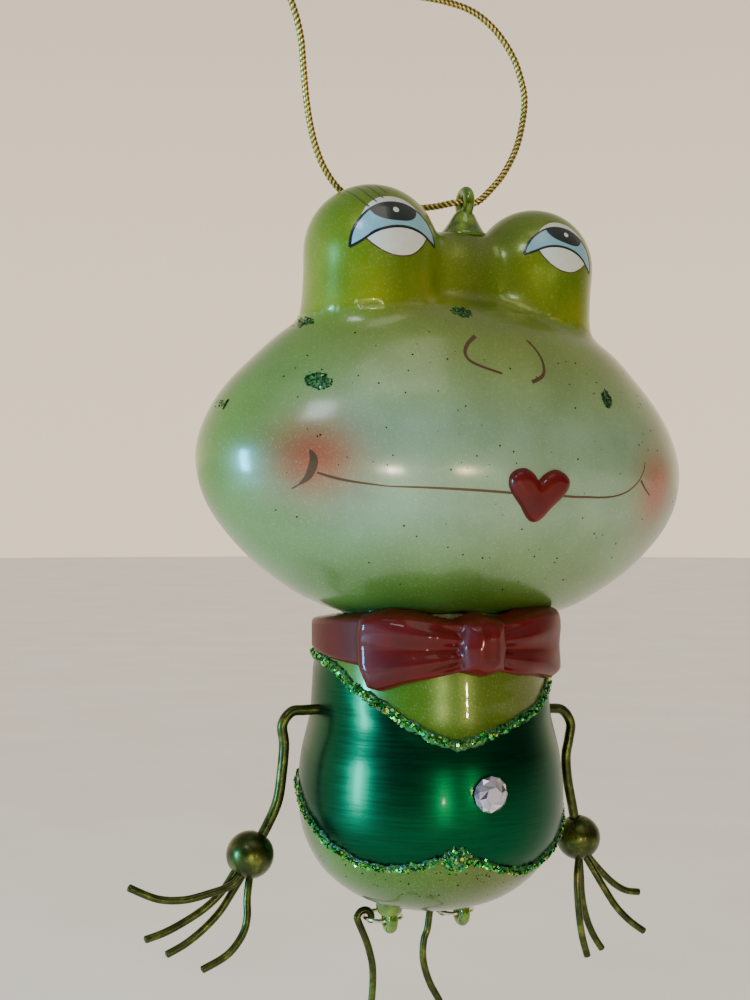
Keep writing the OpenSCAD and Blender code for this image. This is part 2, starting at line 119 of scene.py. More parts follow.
RIGHT_FINGERS = [
    [(29.2, -0.7, -45.3), (28.6, -1.2, -48.4), (28.5, -1.6, -52), (28.8, -1.8, -56.2), (29.4, -1.8, -59.6),
     (30.5, -1.6, -63)],
    [(30.1, 0.7, -45.3), (30.7, 1.2, -49), (31.3, 1.8, -53), (32.4, 2.2, -57), (33.9, 2.3, -60.4),
     (35.7, 2.2, -63.2)],
    [(30.6, -0.7, -45.1), (32.2, -1.3, -48), (34, -1.9, -51.2), (36.1, -2.2, -54.4), (38.8, -2.4, -57.2),
     (41.8, -2.4, -59.4)],
    [(31.4, 0.7, -44.8), (33.6, 1.1, -47.2), (36, 1.5, -49.6), (38.4, 1.8, -51.6), (40.8, 2, -52.9),
     (43.4, 2, -53.4)],
]

# Lugs, rings and hooks; a leg's bends go aside from its hook at a share of its height, toes go aside and down
LUG_X = (-7, 6.8)
LUG_Y = 1.5
LUG_Z = -53.6
RING_R = 3.4
HOOK_R = 1.3
LEG_H = 58
LEG_BENDS = (
    [(0.1, 0.06), (0.9, 0.1), (1.6, 0.16), (1.4, 0.25), (0.3, 0.36), (-1.2, 0.49), (-1.9, 0.62), (-1.1, 0.75),
     (-0.2, 0.87), (0, 0.955)],
    [(-1.7, 0.055), (-2.4, 0.09), (-2.5, 0.15), (-1.3, 0.22), (1.2, 0.3), (3.4, 0.4), (3.9, 0.5), (2.6, 0.63),
     (0.9, 0.77), (0.1, 0.88), (0, 0.955)],
)
TOES = [
    [(-1.2, 3.5), (-2.8, 6.8), (-4.6, 9.8), (-6.2, 12.6)],
    [(-0.5, 3.7), (-1.2, 7.8), (-2, 11.6), (-2.6, 15)],
    [(0.5, 3.7), (1.2, 7.8), (2, 11.6), (2.8, 15.2)],
    [(1.2, 3.5), (2.9, 6.8), (4.8, 9.8), (6.4, 12.4)],
]
TOE_Y = (-0.7, 0.7, -0.7, 0.7)

# Lines round the torso: the angle from the front in degrees, and the height
NECK_LINE = [(-180, -6.8), (-130, -6.8), (-92, -7), (-74, -8.6), (-60, -11.7), (-46.6, -14), (-32.6, -17.1),
             (-19.7, -19.4), (-12, -20.2), (-4.6, -19.7), (8, -18.3), (19.8, -17), (36.5, -15.2),
             (50, -12.9), (62, -10.6), (76, -8.4), (92, -7), (130, -6.8), (180, -6.8)]
HEM_LINE = [(-180, -28), (-130, -28), (-105, -29.5), (-84, -34.2), (-72, -37.4), (-56.4, -39.8),
            (-44, -40.3), (-28, -39.6), (-20.5, -38.5), (-12.5, -38.2), (-1.8, -39.2), (9.8, -40.8),
            (22, -41.8), (34, -41.5), (48, -39.6), (62, -36.5), (80, -33), (105, -29.5), (130, -28),
            (180, -28)]
TUFT = (-12.5, -38.3)


class FrogSizes(bpy.types.PropertyGroup):
    """Sizes of what the maker adds to the glass."""

    cord_d: FloatProperty(name="Cord diameter", description="Twisted hanging cord", default=1.3 * MM,
                          unit="LENGTH")
    arm_d: FloatProperty(name="Arm wire", description="Diameter of the arm wire", default=1.8 * MM,
                         unit="LENGTH")
    fine_d: FloatProperty(name="Fine wire", description="Leg, finger and toe wire", default=1.3 * MM,
                          unit="LENGTH")
    bead_d: FloatProperty(name="Bead", description="Hand and foot beads", default=8 * MM, unit="LENGTH")
    stone_d: FloatProperty(name="Rhinestone", description="Width of the button stone", default=6 * MM,
                           unit="LENGTH")
    flakes: IntProperty(name="Glitter", description="Flakes of glitter in each millimetre of trim",
                        default=14)


class FrogColours(bpy.types.PropertyGroup):
    """Colours of the paint, as sRGB."""

    lime: FloatVectorProperty(name="Lime", description="Top of the head", subtype="COLOR_GAMMA",
                              default=(0.4235, 0.5098, 0.0784))
    mint: FloatVectorProperty(name="Pearl mint", description="Frosted face", subtype="COLOR_GAMMA",
                              default=(0.5451, 0.6824, 0.5647))
    emerald: FloatVectorProperty(name="Emerald", description="Waistcoat", subtype="COLOR_GAMMA",
                                 default=(0.0, 0.30, 0.18))
    red: FloatVectorProperty(name="Red enamel", description="Bow and heart", subtype="COLOR_GAMMA",
                             default=(0.36, 0.0, 0.0))


# ---- Small tools ----


def in_torso(p):
    """A place in the torso's frame, as a place in the row's frame, in metres."""
    return (Vector(p) - EYE) * MM


def in_head(p):
    """A place in the tilted head's frame, as a place in the row's frame, in metres."""
    return (HEAD @ Vector(p) - EYE) * MM


def linear(colour):
    """An sRGB hex string or triple as linear RGBA."""
    if isinstance(colour, str):
        colour = [int(colour[i : i + 2], 16) / 255 for i in (1, 3, 5)]
    return [c / 12.92 if c <= 0.04045 else ((c + 0.055) / 1.055) ** 2.4 for c in colour[:3]] + [1.0]


def smooth(points, steps):
    """A Catmull-Rom curve through the points, with that many steps between two of them."""
    p = [Vector(q) for q in points]
    out = []
    for i in range(len(p) - 1):
        a, b, c, d = p[max(i - 1, 0)], p[i], p[i + 1], p[min(i + 2, len(p) - 1)]
        for k in range(steps):
            t = k / steps
            square, cube = 2 * a - 5 * b + 4 * c - d, 3 * b - 3 * c + d - a
            out.append(0.5 * (2 * b + (c - a) * t + square * t * t + cube * t**3))
    return out + [p[-1]]


def height_at(line, angle):
    """The height of a line round the torso at an angle."""
    angle = (angle + 180) % 360 - 180
    for (a, za), (b, zb) in zip(line, line[1:]):
        if a <= angle <= b:
            t = (angle - a) / (b - a)
            t = t * t * (3 - 2 * t) * 0.35 + t * 0.65
            return za + (zb - za) * t
    return line[-1][1]


def as_mesh(name, bm):
    """A mesh that takes over what was built in bm."""
    mesh = bpy.data.meshes.new(name)
    bm.to_mesh(mesh)
    bm.free()
    return mesh


def fused(name, bm, cell, softenings=0):
    """One skin round forms that cut into each other, made of cells of that size and softened that often."""
    lump = bpy.data.objects.new(name, as_mesh(name, bm))
    bpy.context.scene.collection.objects.link(lump)
    skin = lump.modifiers.new("skin", "REMESH")
    skin.mode = "VOXEL"
    skin.voxel_size = cell
    if softenings:
        lump.modifiers.new("soften", "SMOOTH").iterations = softenings
    mesh = bpy.data.meshes.new_from_object(lump.evaluated_get(bpy.context.evaluated_depsgraph_get()))
    bpy.data.objects.remove(lump)
    return mesh


def soften(bm, times, factor):
    """Evens out the points of a built form."""
    for _ in range(times):
        bmesh.ops.smooth_vert(bm, verts=bm.verts, factor=factor, use_axis_x=True, use_axis_y=True,
                              use_axis_z=True)


def round_angles(count):
    """The angles of a full turn in that many steps, with both ends."""
    return [math.tau * k / count for k in range(count + 1)]


def piece(name, bm, body, materials, replaces=(), shade=True):
    """A finished mesh piece that rides on a body."""
    return finish_piece(name, as_mesh(name, bm), body, materials, replaces, shade)


def finish_piece(name, mesh, body, materials, replaces=(), shade=True):
    """An object for a mesh, with its materials, its body and the nodes that it stands for."""
    for m in materials:
        mesh.materials.append(m)
    for polygon in mesh.polygons:
        polygon.use_smooth = shade
    return place_piece(bpy.data.objects.new(name, mesh), body, replaces)


def place_piece(obj, body, replaces):
    """Puts a finished object in the scene and says what it rides on and stands for."""
    bpy.context.scene.collection.objects.link(obj)
    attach(obj, body)
    if replaces:
        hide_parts(*replaces)
    return obj


WIRE_TIP = 0.35  # how wide a cut end is left, as a share of the wire


def wire(name, points, diameter, body, material, replaces=()):
    """A round drawn wire along a smooth route in metres, with its cut ends rounded over."""
    curve = bpy.data.curves.new(name, "CURVE")
    curve.dimensions = "3D"
    curve.bevel_depth = diameter / 2
    curve.bevel_resolution = 5
    curve.use_fill_caps = True
    line = smooth(points, 7)
    ends = [(line[0] - line[1]).normalized() * diameter * 0.16,
            (line[-1] - line[-2]).normalized() * diameter * 0.16]
    first = [line[0] + ends[0], line[0] + ends[0] * 0.5]
    line = first + line + [line[-1] + ends[1] * 0.5, line[-1] + ends[1]]
    radii = [WIRE_TIP, 0.8] + [1.0] * (len(line) - 4) + [0.8, WIRE_TIP]
    spline = curve.splines.new("POLY")
    spline.points.add(len(line) - 1)
    for point, place, radius in zip(spline.points, line, radii):
        point.co = (*place, 1)
        point.radius = radius
    spline.use_smooth = True
    curve.materials.append(material)
    return place_piece(bpy.data.objects.new(name, curve), body, replaces)


def swept(line, radius_at, sides, bm=None):
    """A tube swept along a line of places, whose radius depends on the ring and the angle."""
    bm = bm or bmesh.new()
    rings = []
    side = None
    for i, p in enumerate(line):
        ahead = (line[min(i + 1, len(line) - 1)] - line[max(i - 1, 0)]).normalized()
        if side is None:
            side = ahead.cross(Vector((0, 1, 0))).normalized()
        side = (side - ahead * side.dot(ahead)).normalized()
        up = ahead.cross(side)
        ring = []
        for k in range(sides):
            a = math.tau * k / sides
            ring.append(bm.verts.new(p + (side * math.cos(a) + up * math.sin(a)) * radius_at(i, a)))
        rings.append([bm.edges.new((ring[k], ring[(k + 1) % sides])) for k in range(sides)])
    for a, b in zip(rings, rings[1:]):
        bmesh.ops.bridge_loops(bm, edges=a + b)
    for ring in (rings[0], rings[-1]):
        bmesh.ops.contextual_create(bm, geom=ring)
    bmesh.ops.recalc_face_normals(bm, faces=bm.faces)
    return bm


def revolve(profile, steps):
    """A surface of revolution about Z from (radius, height) pairs, with its poles closed."""
    bm = bmesh.new()
    verts = [bm.verts.new((r, 0, z)) for r, z in profile]
    edges = [bm.edges.new(pair) for pair in zip(verts, verts[1:])]
    bmesh.ops.spin(bm, geom=verts + edges, cent=(0, 0, 0), axis=(0, 0, 1), angle=math.tau, steps=steps,
                   use_merge=True)
    bmesh.ops.remove_doubles(bm, verts=bm.verts, dist=1e-7)
    bmesh.ops.recalc_face_normals(bm, faces=bm.faces)
    return bm


# ---- Materials ----


def add(tree, kind, settings=None, links=None):
    """A node with its settings and its links: an input takes a value, or a (node, output) pair."""
    node = tree.nodes.new(kind)
    for key, value in (settings or {}).items():
        setattr(node, key, value)
    for key, value in (links or {}).items():
        if isinstance(value, tuple) and len(value) == 2 and isinstance(value[0], bpy.types.Node):
            tree.links.new(value[0].outputs[value[1]], node.inputs[key])
        else:
            node.inputs[key].default_value = value
    return node


def surface(name, **sockets):
    """A material with a Principled surface, its node tree and that surface node."""
    material = bpy.data.materials.new(name)
    material.use_nodes = True
    tree = material.node_tree
    shader = tree.nodes["Principled BSDF"]
    for key, value in sockets.items():
        shader.inputs[key.replace("_", " ")].default_value = value
    return material, tree, shader


def ramp(tree, source, stops):
    """A colour ramp between the stops, (place, sRGB hex), fed by a node's first output."""
    node = add(tree, "ShaderNodeValToRGB", None, {"Fac": (source, 0)})
    elements = node.color_ramp.elements
    while len(elements) < len(stops):
        elements.new(0.5)
    for element, (place, colour) in zip(elements, stops):
        element.position = place
        element.color = linear(colour)
    return node


def grain(tree, size_mm, detail=2.0, stretch=(1, 1, 1), rough=0.5):
    """Noise whose blobs are about that many millimetres across, on the object's own coordinates."""
    where = add(tree, "ShaderNodeTexCoord")
    scaled = add(tree, "ShaderNodeMapping", None, {"Vector": (where, "Object"), "Scale": stretch})
    return add(tree, "ShaderNodeTexNoise", None,
               {"Vector": (scaled, 0), "Scale": 1 / (size_mm * MM), "Detail": detail, "Roughness": rough})


def bump(tree, shader, source, height_mm, strength=1.0):
    """Relief from a node's first output, that high in millimetres."""
    relief_height = {"Height": (source, 0), "Distance": height_mm * MM, "Strength": strength}
    node = add(tree, "ShaderNodeBump", None, relief_height)
    tree.links.new(node.outputs[0], shader.inputs["Normal"])


def mixed(tree, factor, first, second, how="MIX"):
    """Two colours mixed; each is an RGBA list or a (node, output) pair."""
    return add(tree, "ShaderNodeMix", {"data_type": "RGBA", "blend_type": how},
               {0: factor, 6: first, 7: second})


def uneven(tree, shader, source, colour, low, high):
    """One colour that goes a little darker and lighter with a node's first output."""
    tone = add(tree, "ShaderNodeMapRange", None, {"Value": (source, 0), "From Min": low, "From Max": high})
    dark, light = linear([c * 0.9 for c in colour]), linear([min(1, c * 1.06) for c in colour])
    tree.links.new(mixed(tree, (tone, 0), dark, light).outputs[2], shader.inputs["Base Color"])


def roughened(tree, shader, source, low, high):
    """Roughness between two values, from a node's first output."""
    rough = add(tree, "ShaderNodeMapRange", None, {"Value": (source, 0), "To Min": low, "To Max": high})
    tree.links.new(rough.outputs[0], shader.inputs["Roughness"])


def painted(name, gloss):
    """Blown glass with sprayed lacquer: its colour comes from the paint attribute, with fine pearl in it
    drawn as painted sparkle, light specks added to the colour.
    """
    material, tree, shader = surface(name, **gloss)
    paint = add(tree, "ShaderNodeAttribute", {"attribute_name": "paint"})
    cloud = grain(tree, 9, 3)
    shade = ramp(tree, cloud, [(0.3, "#e2e6dc"), (0.7, "#ffffff")])
    base = mixed(tree, 1.0, (paint, "Color"), (shade, 0), "MULTIPLY")
    painted_sparkle = grain(tree, 0.35, 1, rough=0.7)  # pearl dust is finer than this; it is drawn at 0.35 mm to show
    # painted sparkle: light specks added to the colour where the pearl dust would catch the light
    light = ramp(tree, painted_sparkle, [(0.55, "#000000"), (0.78, "#4c5540")])
    tree.links.new(mixed(tree, 1.0, (base, 2), (light, 0), "ADD").outputs[2], shader.inputs["Base Color"])
    return material, tree, shader


def frosted_glass():
    """Frosted pearl lacquer on glass: a satin film whose dust is painted as points of sparkle in its colour.
    """
    material, tree, shader = painted("frosted_pearl_lacquer", {
        "Roughness": 0.42, "IOR": 1.5, "Metallic": 0.1, "Coat Weight": 1.0, "Coat Roughness": 0.17})
    bump(tree, shader, grain(tree, 0.25, 1, rough=0.8), 0.012, 0.6)
    return material


def lacquered_glass(name="lime_lacquered_glass"):
    """Clear gloss over lime lacquer on glass: sharp reflections; the glow of the silvered inside is painted
    light in the paint colour, where it shows.
    """
    material, tree, shader = painted(name, {
        "Roughness": 0.3, "IOR": 1.5, "Metallic": 0.25, "Coat Weight": 0.4, "Coat Roughness": 0.04})
    bump(tree, shader, grain(tree, 3.5, 2), 0.05, 0.5)
    return material


def plain_glass():
    """Clear green glass drawn into a loop: smooth, bright at its edges and darker through its middle."""
    material, tree, shader = surface("drawn_green_glass", Roughness=0.07, IOR=1.5, Coat_Weight=0.6,
                                     Coat_Roughness=0.04, Transmission_Weight=0.35, Metallic=0.1)
    tone = ramp(tree, grain(tree, 2.2, 2), [(0.3, "#48660e"), (0.55, "#76a01c"), (0.8, "#9cc63a")])
    tree.links.new(tone.outputs[0], shader.inputs["Base Color"])
    bump(tree, shader, grain(tree, 1.4, 2), 0.05, 0.4)
    return material


def emerald_lacquer(colours):
    """Metallic lacquer laid on with a brush that went round the torso: fine level strokes in a deep green."""
    material, tree, shader = surface("brushed_metallic_lacquer", Metallic=1.0, Coat_Weight=0.05,
                                     Coat_Roughness=0.08, Roughness=0.3)
    strokes = grain(tree, 0.35, 2, stretch=(0.05, 0.05, 1), rough=0.6)
    uneven(tree, shader, strokes, colours.emerald, 0.3, 0.7)
    roughened(tree, shader, strokes, 0.24, 0.36)
    bump(tree, shader, strokes, 0.02, 0.5)
    return material


def red_enamel(colours):
    """Thick glossy enamel that ran a little before it set: deep red, pooled darker in the folds."""
    material, tree, shader = surface("thick_red_enamel", Roughness=0.5, IOR=1.4, Specular_IOR_Level=0.25,
                                     Coat_Weight=0.4, Coat_Roughness=0.03)
    uneven(tree, shader, grain(tree, 4, 2), colours.red, 0.35, 0.65)
    bump(tree, shader, grain(tree, 1.6, 2), 0.06, 0.5)
    return material


def film(name, colour, rough=0.25):
    """Ink or paint in one thin film, with the small unevenness of a hand or a print."""
    material, tree, shader = surface(name, Roughness=rough, IOR=1.5, Coat_Weight=0.5, Coat_Roughness=0.08)
    pale = linear(colour)
    dark = [c * 0.86 for c in pale[:3]] + [1.0]
    tree.links.new(mixed(tree, (grain(tree, 1.2, 2), 0), pale, dark).outputs[2], shader.inputs["Base Color"])
    return material


def lacquered_wire():
    """Iron wire and beads in olive gold lacquer: metal under a warm film, worn thin and bright in places."""
    material, tree, shader = surface("olive_gold_lacquered_wire", Metallic=0.88, Roughness=0.34,
                                     Coat_Weight=0.25, Coat_Roughness=0.2)
    tone = ramp(tree, grain(tree, 2.4, 4, rough=0.6), [(0.3, "#20280a"), (0.52, "#3c4714"),
                                                       (0.72, "#6e7430")])
    tree.links.new(tone.outputs[0], shader.inputs["Base Color"])
    roughened(tree, shader, grain(tree, 0.9, 3), 0.22, 0.5)
    bump(tree, shader, grain(tree, 0.5, 3), 0.03, 0.6)
    return material


def bright_wire():
    """Bare plated wire: a hard bright metal with faint draw lines."""
    material, tree, shader = surface("bare_plated_wire", Metallic=1.0, Roughness=0.2)
    tone = ramp(tree, grain(tree, 0.8, 2), [(0.3, "#a9a48c"), (0.7, "#e4e0cc")])
    tree.links.new(tone.outputs[0], shader.inputs["Base Color"])
    return material


def gold_thread():
    """Metallised film wound round thread, with painted light and shade: pale gold painted on the crowns of
    the twist and dull olive painted as shade down in its grooves.
    """
    material, tree, shader = surface("metallised_gold_thread", Metallic=0.8, Roughness=0.3)
    crown = add(tree, "ShaderNodeAttribute", {"attribute_name": "crown"})
    # painted light and shade: pale gold on the crowns of the strands, dark olive down in the grooves
    tone = ramp(tree, crown, [(0.1, "#4c4418"), (0.55, "#a8923f"), (0.95, "#e6d692")])
    tree.links.new(tone.outputs[0], shader.inputs["Base Color"])
    bump(tree, shader, grain(tree, 0.12, 2), 0.03, 0.7)
    return material


def glitter_flake():
    """Cut foil flakes: each one a flat mirror in its own green, some turned to gold."""
    material, tree, shader = surface("cut_foil_glitter", Metallic=1.0, Roughness=0.2)
    paint = add(tree, "ShaderNodeAttribute", {"attribute_name": "paint"})
    tree.links.new(paint.outputs["Color"], shader.inputs["Base Color"])
    return material


def glitter_glue():
    """Clear glue darkened by the glitter in it: a wet dark green bed."""
    material, tree, shader = surface("glitter_glue", Roughness=0.3, IOR=1.47, Coat_Weight=0.7,
                                     Coat_Roughness=0.1)
    tone = ramp(tree, grain(tree, 0.5, 2, rough=0.7), [(0.35, "#0d3a1c"), (0.6, "#1f6a35"),
                                                       (0.75, "#4aa05a")])
    tree.links.new(tone.outputs[0], shader.inputs["Base Color"])
    bump(tree, shader, grain(tree, 0.4, 2), 0.15, 0.8)
    return material


def cut_stone():
    """Machine-cut glass stone with a foil back: each facet is painted its own tone of silver and lilac, a
    painted reflection.
    """
    material, tree, shader = surface("foil_backed_cut_glass", Metallic=0.75, Roughness=0.06, Coat_Weight=1.0,
                                     Coat_Roughness=0.01)
    paint = add(tree, "ShaderNodeAttribute", {"attribute_name": "paint"})
    tree.links.new(paint.outputs["Color"], shader.inputs["Base Color"])
    return material


def clear_glue():
    """Set clear glue: a faintly yellow, wet-looking bead."""
    material, tree, shader = surface("clear_set_glue", Roughness=0.15, IOR=1.47, Transmission_Weight=0.5,
                                     Coat_Weight=0.5, Coat_Roughness=0.05)
    tone = ramp(tree, grain(tree, 1.5, 2), [(0.3, "#b9b46a"), (0.7, "#e3dfa6")])
    tree.links.new(tone.outputs[0], shader.inputs["Base Color"])
    bump(tree, shader, grain(tree, 1.1, 2), 0.1, 0.6)
    return material


MATERIALS = {}
SURFACES = {}


def material(name):
    """A material of this ornament, made the first time that it is asked for."""
    colours = bpy.context.scene.frog_colours
    makers = {
        "frosted": frosted_glass,
        "glossy": lacquered_glass,
        "glass": plain_glass,
        "emerald": lambda: emerald_lacquer(colours),
        "red": lambda: red_enamel(colours),
        "wire": lacquered_wire,
        "bright": bright_wire,
        "gold": gold_thread,
        "flake": glitter_flake,
        "glue": glitter_glue,
        "stone": cut_stone,
        "seam": clear_glue,
        "white": lambda: film("white_decal_print", "#dfe6df"),
        "blue": lambda: film("blue_decal_print", "#86bdd2"),
        "black": lambda: film("black_decal_print", "#10201f"),
        "brown": lambda: film("brown_brush_paint", "#4e2e08", 0.5),
        "lash": lambda: film("olive_brush_paint", "#4a4a1c", 0.35),
    }
    if name not in MATERIALS:
        MATERIALS[name] = makers[name]()
    return MATERIALS[name]


def mix3(a, b, t):
    """Two colours mixed in sRGB."""
    t = max(0.0, min(1.0, t))
    return [x + (y - x) * t for x, y in zip(a, b)]


def hexed(text):
    return [int(text[i : i + 2], 16) / 255 for i in (1, 3, 5)]


def paint_attribute(mesh, colour_at):
    """A colour for each point of a mesh, from its place in the row's frame."""
    layer = mesh.color_attributes.new("paint", "FLOAT_COLOR", "POINT")
    for i, vertex in enumerate(mesh.vertices):
        layer.data[i].color = linear(colour_at(vertex.co))


# ---- Surfaces that paint and trims lie on ----


def keep_surface(name, mesh):
    """Keeps a tree of a finished surface, so that later pieces can be laid on it."""
    SURFACES[name] = BVHTree.FromPolygons([v.co for v in mesh.vertices],
                                          [tuple(p.vertices) for p in mesh.polygons])


def on_face(x, z, lift=0.0):
    """A place on the front of the head, straight ahead of (x, z) in the head's frame, lifted off it."""
    start = in_head((x + FACE_X, -70, z))
    ahead = (in_head((x + FACE_X, 0, z)) - start).normalized()
    place, normal, _, _ = SURFACES["head"].ray_cast(start, ahead)
    if place is None:
        place, normal, _, _ = SURFACES["head"].find_nearest(in_head((x + FACE_X, -5, z)))
    return place + normal * lift * MM


def on_torso(angle, z, lift=0.0):
    """A place on the torso at an angle from the front in degrees and a height, lifted off it."""
    a = math.radians(angle)
    out = Vector((math.sin(a), -math.cos(a), 0))
    axis = in_torso((0, 0, z))
    place, normal, _, _ = SURFACES["torso"].ray_cast(axis + out * 0.06, -out)
    return place + normal * lift * MM


def on_dome(dome, facing, roll, u, v, lift=0.0):
    """A place on an eye dome, u to the right and v up from where it faces, in millimetres along the glass."""
    centre, r = dome
    lon, lat = (math.radians(k) for k in facing)
    out = Vector((math.sin(lon) * math.cos(lat), -math.cos(lon) * math.cos(lat), math.sin(lat)))
    east = Vector((math.cos(lon), math.sin(lon), 0))
    north = out.cross(east)
    north = north if north.z > 0 else -north
    c, s = math.cos(math.radians(roll)), math.sin(math.radians(roll))
    flat = Vector((u * c - v * s, u * s + v * c))
    far = flat.length
    direction = out
    if far > 1e-6:
        aside = (east * flat.x + north * flat.y) / far
        direction = out * math.cos(far / r) + aside * math.sin(far / r)
    start, middle = in_head(centre + direction * (r + 6)), in_head(centre)
    place, normal, _, _ = SURFACES["head"].ray_cast(start, (middle - start).normalized())
    return place + normal * lift * MM


def patch(bm, outline, wrap, lift, index, cell=0.7):
    """A thin film with a flat outline, laid on a surface by wrap(u, v, lift)."""
    flat = bmesh.new()
    face = flat.faces.new([flat.verts.new((u, v, 0)) for u, v in outline])
    bmesh.ops.triangulate(flat, faces=[face])
    for _ in range(4):
        long = [e for e in flat.edges if e.calc_length() > cell]
        if not long:
            break
        bmesh.ops.subdivide_edges(flat, edges=long, cuts=1)
        bmesh.ops.triangulate(flat, faces=flat.faces)
    made = {v: bm.verts.new(wrap(v.co.x, v.co.y, lift)) for v in flat.verts}
    for f in flat.faces:
        new = bm.faces.new([made[v] for v in f.verts])
        new.material_index = index
    flat.free()


def stroke(bm, points, wrap, width_at, lift, index):
    """A brushed line of changing width, laid on a surface by wrap(u, v, lift)."""
    line = smooth([Vector((u, v, 0)) for u, v in points], 8)
    rows = []
    for i, p in enumerate(line):
        ahead = (line[min(i + 1, len(line) - 1)] - line[max(i - 1, 0)]).normalized()
        side = Vector((-ahead.y, ahead.x, 0)) * width_at(i / (len(line) - 1)) / 2
        rows.append([bm.verts.new(wrap(*(p + side * k).xy, lift * (1 - 0.5 * abs(k)))) for k in (-1, 0, 1)])
    for a, b in zip(rows, rows[1:]):
        for k in (0, 1):
            bm.faces.new((a[k], b[k], b[k + 1], a[k + 1])).material_index = index


def face_out(bm, centre):
    """Turns a thin film's faces away from a centre."""
    for f in bm.faces:
        if f.normal.dot(f.calc_center_median() - centre) < 0:
            f.normal_flip()


def inside_by(point, outline):
    """How far a flat point is inside a closed outline; negative outside it."""
    best, inside = 1e9, False
    for a, b in zip(outline, outline[1:] + outline[:1]):
        edge, to = (b[0] - a[0], b[1] - a[1]), (point[0] - a[0], point[1] - a[1])
        t = max(0.0, min(1.0, (to[0] * edge[0] + to[1] * edge[1]) / max(edge[0] ** 2 + edge[1] ** 2, 1e-12)))
        best = min(best, math.hypot(to[0] - edge[0] * t, to[1] - edge[1] * t))
        if (a[1] > point[1]) != (b[1] > point[1]):
            if point[0] < edge[0] * (point[1] - a[1]) / (b[1] - a[1]) + a[0]:
                inside = not inside
    return best if inside else -best


def relief(low, high, cell, height_at_point, wrap, deep=0.3):
    """A raised skin over a flat region: round its outline it turns down, that deep below the surface."""
    across, along = (max(2, round((high[k] - low[k]) / cell)) for k in (0, 1))
    bm = bmesh.new()
    rows = []
    for j in range(along + 1):
        row = []
        for i in range(across + 1):
            u = low[0] + (high[0] - low[0]) * i / across
            v = low[1] + (high[1] - low[1]) * j / along
            h = height_at_point(u, v)
            row.append((bm.verts.new(wrap(u, v, h)), h))
        rows.append(row)
    for j in range(along):
        for i in range(across):
            corners = [rows[j][i], rows[j][i + 1], rows[j + 1][i + 1], rows[j + 1][i]]
            if max(h for _, h in corners) > -deep:
                bm.faces.new([v for v, _ in corners])
    bmesh.ops.delete(bm, geom=[v for v in bm.verts if not v.link_faces], context="VERTS")
    return bm


def pillow(d, width, height, deep=0.4, wall=1.0):
    """The height of a rounded edge, d inside its outline, that is full after width; a wall outside it."""
    if d < 0:
        return max(-deep, d * wall)
    t = min(1.0, d / width)
    return height * math.sqrt(max(0.0, 1 - (1 - t) ** 2))


# ---- Pieces ----

CAMERA_TURN = -22  # degrees from the frog's front; the camera stands to the left of it
CAMERA_AWAY = 0.28
# The head's colours: sprayed paint and blush, with painted light among them: the side tint is painted side
# light on the left, the low dome tint a painted warm glow and the tint between the domes painted shade.
HEAD_PAINT_AND_LIGHT = {"side": "#557e10", "chin": "#547a2c", "dome": "#587c08", "back": "#5c6c12",
              "dome_low_glow": "#a0a010", "shade_between_domes": "#5f7010", "blush": "#b0402a"}
TORSO_SPRAY = {"gold": "#6a7000", "green": "#457608", "deep": "#304600"}
BLUSH = ((-32, 24.6, 7.2, 7, 0.8), (31.5, 23.2, 5.5, 7,
                                    0.75))  # x, z, width, height and strength of each cheek
SPOTS = ((-5.2, 50.8, 1.8, 1.0), (-30.6, 37.2, 1.9, 1.4), (19.4, 37.8, 1.1, 1.6), (-29.7, 48, 1.2, 0.9),
         (-43.2, 33.6, 0.8, 0.9))  # x, z, half width and half height of each spot of glitter
SPOT_TONES = ("#123f1e", "#1c5c2a", "#2c7a3a", "#3f6a2c")
STRAY_TONE = "#10240c"
# painted reflections of the rhinestone's facets, from pale silver to dark lilac
STONE_FACET_REFLECTIONS = ("#e8e6ee", "#b9b4cc", "#8d8aa4", "#f4f2f6", "#cfc6dc", "#a7a9b4", "#e0d2e4", "#707488")


